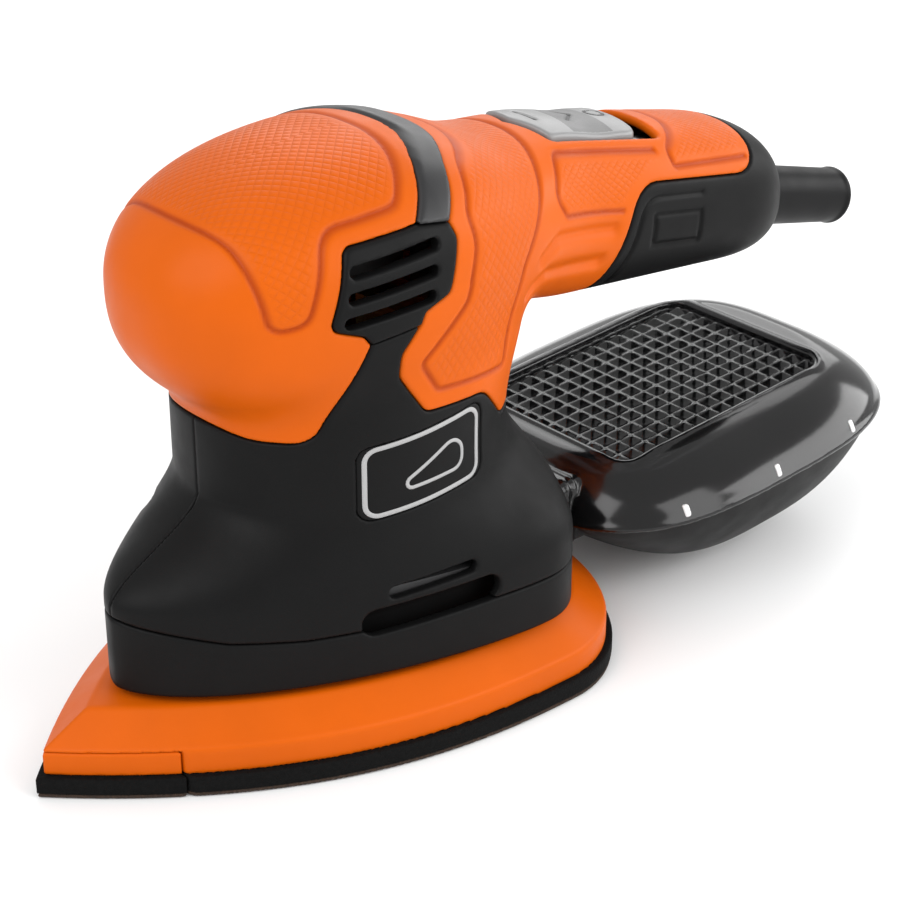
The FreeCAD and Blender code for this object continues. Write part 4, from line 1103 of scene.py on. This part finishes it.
def dimples(x, y):
    """Small pyramids in straight rows across the window."""
    u = (x + PITCH / 2) / PITCH
    v = (y - WINDOW_AT) / PITCH
    across = 1 - 2 * np.abs(u - np.floor(u) - 0.5)
    along = 1 - 2 * np.abs(v - np.floor(v) - 0.5)
    return np.minimum(across, along)


def lid_field(x, y, z):
    level = levelled(y, z)
    outer = smooth_max(box_side(x, y, level, lid_inset, 0.0), level - BOX_TOP, 2.5)
    pane = rounded_rect(x, y - WINDOW_AT, WINDOW_HALF, WINDOW_LONG, 5.0) + 0 * level
    rim = 0.45 * line_bump(pane - 1.2, 0.8)
    outer = outer - rim - 0.5 * line_bump(level - BOX_SEAM - 1.0, 0.9)
    sunk = smooth_max(pane, BOX_TOP - 2.0 + 1.6 * dimples(x, y) * np.clip(-pane / 1.5, 0, 1) - level, 0.4)
    outer = cut(outer, sunk, 0.5)
    outer = smooth_min(outer, collar_field(x, y, z), 0.8)
    inner = np.maximum(box_side(x, y, level, lid_inset, BOX_SKIN), level - BOX_TOP + BOX_SKIN + 1.3)
    shell = cut(outer, inner, 0.3)
    shell = np.maximum(shell, BOX_SEAM + 0.15 - level)
    return cut(shell, np.maximum(duct_room(x, y, z), y - 56.0), 0.3)


def tray_field(x, y, z):
    level = levelled(y, z)
    outer = smooth_max(box_side(x, y, level, tray_inset, 0.0), BOX_FLOOR + 0.1 - level, 3.0)
    outer = smooth_min(outer, collar_field(x, y, z), 0.8)
    inner = np.maximum(box_side(x, y, level, tray_inset, BOX_SKIN), BOX_FLOOR + BOX_SKIN - level)
    shell = cut(outer, inner, 0.3)
    shell = smooth_max(shell, level - BOX_SEAM, 0.4)
    return cut(shell, np.maximum(duct_room(x, y, z), y - 56.0), 0.3)


smoke = MATERIALS["smoked_clear"]
whole_shell("dust_lid_shell", lid_field, (-1, 44, 22), (44.5, 152, 46.5), smoke, ["dust_lid"], "dust_lid")
whole_shell("dust_tray_shell", tray_field, (-1, 44, 0), (44.5, 152, 34), black, ["dust_tray"], "dust_box")


MARK_SPACING = 27.0
MARK_HALF = 0.7
MARK_TALL = 1.3
MARK_LEVEL = BOX_SEAM + 3.0


def level_mark(place):
    """A small upright fill mark on the lid's shoulder; its light grey colour is a painted highlight."""
    def field(x, y, z):
        level = levelled(y, z)
        shell = box_side(x, y, level, lid_inset, 0.0)
        piece = smooth_max(np.abs(y - place) - MARK_HALF, shell - 0.35, 0.3)
        piece = cut(piece, shell + 0.4, 0.2)
        return smooth_max(piece, np.abs(level - MARK_LEVEL) - MARK_TALL, 0.4)
    return field


marks = [surface_net(level_mark(place), (BOX_HALF - 14, place - 3, 24), (BOX_HALF + 2, place + 3, 42), 0.4)
         for place in (WINDOW_AT + MARK_SPACING * step for step in (-1, 0, 1))]
# painted highlight: the ribs are light grey so that they look like glints
finished("dust_lid_ribs", *merged(marks + [flipped(*own) for own in marks]), RIB_PAINTED_HIGHLIGHT, "dust_lid", [])


def latch_field(x, y, z):
    """A ribbed tab beside the collar."""
    piece = rounded_rect(y - 46.7 + 0 * z, z - 28.0 + 0 * y, 0.85, 2.0, 0.4)
    ridges = 0.25 * np.cos((z - 28.0) * 2 * math.pi / 1.2)
    return smooth_max(piece, np.abs(x - 20.75) - 0.6 + ridges * 0.4, 0.3)


latch = surface_net(latch_field, (19, 45, 25), (23, 48.5, 31), 0.25)
finished("dust_latch_tabs", *both_sides(latch), black, "dust_box", ["dust_latch"])


def duct_field(x, y, z):
    middle = (DUCT_LOW + DUCT_HIGH) / 2
    tube = rounded_rect(x, z - middle + 0 * y, DUCT_HALF, 5.3, 1.2)
    bore = rounded_rect(x, z - middle + 0 * y, DUCT_HALF - 1.6, 3.7, 0.8)
    lip = 0.35 * line_bump(y - 50.5, 0.8)
    piece = smooth_max(smooth_max(tube + 0.35 - lip, 37.0 - y, 0.3), y - 53.0, 0.5)
    return cut(piece, bore, 0.3)


whole_shell("dust_duct_spout", duct_field, (-1, 36, 18), (17, 54, 33), MATERIALS["inner_plastic"],
            ["dust_duct"], step=STEP * 0.8)


# ---- switch

BAR_HALF = 3.4
BAR_AT = 51.6
CHEVRON_HALF = 4.2
CHEVRON_FRONT = 60.2
CHEVRON_TIP = 64.8
RING_AT = 72.2
RING_RADIUS = 2.1
BUTTON_MARK_HALF = 0.42


def button_mark(x, y):
    """How far a point lies from the bar, chevron and ring on the button, seen from above."""
    bar = segment_distance(x, y, (-BAR_HALF, BAR_AT), (BAR_HALF, BAR_AT))
    chevron = segment_distance(np.abs(x), y, (CHEVRON_HALF, CHEVRON_FRONT), (0.0, CHEVRON_TIP))
    ring = np.abs(np.hypot(x, y - RING_AT) - RING_RADIUS)
    return np.minimum(np.minimum(bar, ring), chevron)


def button_field(x, y, z):
    plan = rounded_rect(x, y - 61.2, BUTTON_HALF - 0.15, 14.6, 2.6)
    plan = smooth_max(plan, 46.6 + 0.28 * np.abs(x) - y, 1.0)
    dish = 0.5 * line_bump(y - 64.0, 6.0)
    groove = 0.45 * line_bump(button_mark(x, y) + 0 * z, 0.5)
    top = handle_field(x, y, z) - 0.45 + dish + groove
    piece = smooth_max(top, plan + 0 * z, 0.9)
    return smooth_max(piece, handle_top(y) - 3.6 - z, 0.3)


button = whole_shell("switch_button_cap", button_field, (-1, 44, 98), (12, 79, 117), MATERIALS["switch_grey"],
                     ["switch_button"], body="switch", step=STEP * 0.7)
button.data.materials.append(SWITCH_DARK)
button.data.materials.append(MARK_DARK)
for face in button.data.polygons:
    x, y, z = face.center / MM
    if face.normal.z > 0.5 and button_mark(x, y) < BUTTON_MARK_HALF:
        face.material_index = 2
    elif face.normal.z > 0.5 and 57.0 < y < 69.0 and abs(x) < BUTTON_HALF - 1.2:
        face.material_index = 1


# ---- cord boot

BOOT_LENGTH = 45.0
BOOT_RADIUS = 7.5
BOOT_TAPER = 0.9
FLANGE = 9.5
CORD_HOLE = 3.55


def boot_field(x, y, z):
    along = (y - BOOT_START[0]) * math.cos(BOOT_SLOPE) - (z - BOOT_START[1]) * math.sin(BOOT_SLOPE)
    lift = (y - BOOT_START[0]) * math.sin(BOOT_SLOPE) + (z - BOOT_START[1]) * math.cos(BOOT_SLOPE)
    away = np.hypot(x, lift)
    radius = BOOT_RADIUS - BOOT_TAPER * np.clip(along / BOOT_LENGTH, 0, 1)
    radius = radius + 0.35 * line_bump(along - 43.6, 1.0) + 0.5 * line_bump(along - 10.6, 1.4)
    piece = smooth_max(away - radius, along - BOOT_LENGTH + 0.1, 1.2)
    flange = smooth_max(away - FLANGE, np.abs(along - 1.3) - 1.15, 0.4)
    piece = smooth_min(smooth_max(piece, 0.1 - along, 0.3), flange, 0.6)
    return smooth_max(piece, CORD_HOLE - away, 0.7)


whole_shell("cord_boot_sleeve", boot_field, (-1, 108, 62), (11.5, 160, 93), MATERIALS["rubber_black"],
            ["cord_boot"], step=STEP * 0.8)


# ---- screws in the right side

STAR_POINTS = 6
TURNS = 48
SOCKET = 1.38
LOBE = 0.22
SHANK_AND_HEAD = [(7.0, 0.7), (6.2, 1.35), (-11.0, 1.35), (-11.05, 2.75), (-12.2, 2.75), (-12.9, 2.45),
                  (-13.1, 1.9)]
SOCKET_RINGS = [(-13.1, 1.0), (-12.98, 0.93), (-11.9, 0.9)]


def screw_mesh(place):
    """A pan-head screw with a six-lobed socket, its head toward -X."""
    angle = np.arange(TURNS) * 2 * math.pi / TURNS
    star = SOCKET + LOBE * np.cos(STAR_POINTS * angle)
    points = []
    for x, radius in SHANK_AND_HEAD + [(x, star * scale) for x, scale in SOCKET_RINGS]:
        y, z = radius * np.cos(angle) + place[0], radius * np.sin(angle) + place[1]
        points += list(zip(np.full(TURNS, x), y, z))
    faces = [tuple(range(TURNS))[::-1], tuple(range(len(points) - TURNS, len(points)))]
    for row in range(0, len(points) - TURNS, TURNS):
        for k in range(TURNS):
            a, b = row + k, row + (k + 1) % TURNS
            faces.append((a, b, b + TURNS, a + TURNS))
    return points, faces


screw_places = HOUSING_SCREWS + GRIP_SCREWS + HANDLE_SCREWS
screws = mesh_object("housing_screw_set", *merged(screw_mesh(place) for place in screw_places))
screws.data.materials.append(MATERIALS["steel"])
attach(screws, "root")
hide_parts("housing_screws")


# ---- camera, lights and floor

AZIMUTH = math.radians(48.7)
ELEVATION = math.radians(27.0)
CAMERA_AT = (0.3405, -0.2685, 0.2723)
camera_data = bpy.data.cameras.new("camera")
camera_data.sensor_width = 36.0
camera_data.lens = 92.0
camera_data.clip_start = 0.01
camera_data.clip_end = 20.0
camera = placed("camera", camera_data)
right = Vector((math.cos(AZIMUTH), math.sin(AZIMUTH), 0))
level = math.cos(ELEVATION)
back = Vector((math.sin(AZIMUTH) * level, -math.cos(AZIMUTH) * level, math.sin(ELEVATION)))
up = back.cross(right)
turned = Matrix((right, up, back)).transposed().to_4x4()
turned.translation = Vector(CAMERA_AT)
camera.matrix_world = turned
bpy.context.scene.camera = camera

floor_mesh = bpy.data.meshes.new("floor")
floor_mesh.from_pydata([(-3, -3, 0), (3, -3, 0), (3, 3, 0), (-3, 3, 0)], [], [(0, 1, 2, 3)])
floor = placed("floor", floor_mesh)
floor.location.z = -0.0002
floor_material, _, floor_shader = new_material("floor_white")
floor_shader.inputs["Base Color"].default_value = (0.86, 0.86, 0.86, 1)
floor_shader.inputs["Roughness"].default_value = 0.75
floor_mesh.materials.append(floor_material)

bpy.context.scene.view_settings.view_transform = "Standard"
world = bpy.data.worlds.new("studio")
bpy.context.scene.world = world
world.use_nodes = True
world.node_tree.nodes["Background"].inputs["Color"].default_value = (1, 1, 1, 1)
world.node_tree.nodes["Background"].inputs["Strength"].default_value = 0.75


def area_light(name, place, aim, wide, tall, power):
    data = bpy.data.lights.new(name, "AREA")
    data.shape = "RECTANGLE"
    data.size = wide
    data.size_y = tall
    data.energy = power
    light = placed(name, data)
    light.location = place
    light.rotation_euler = (Vector(aim) - Vector(place)).to_track_quat("-Z", "Y").to_euler()


area_light("key", (0.1, -0.75, 0.7), (0, 0, 0.06), 0.8, 0.7, 6.0)
area_light("side", (0.8, 0.2, 0.45), (0, 0.03, 0.06), 0.5, 0.7, 3.2)
area_light("rear", (-0.5, 0.7, 0.6), (0, 0.05, 0.07), 0.8, 0.7, 3.6)
area_light("strip", (0.42, 0.76, 0.36), (0.036, 0.11, 0.035), 0.9, 0.36, 4.5)
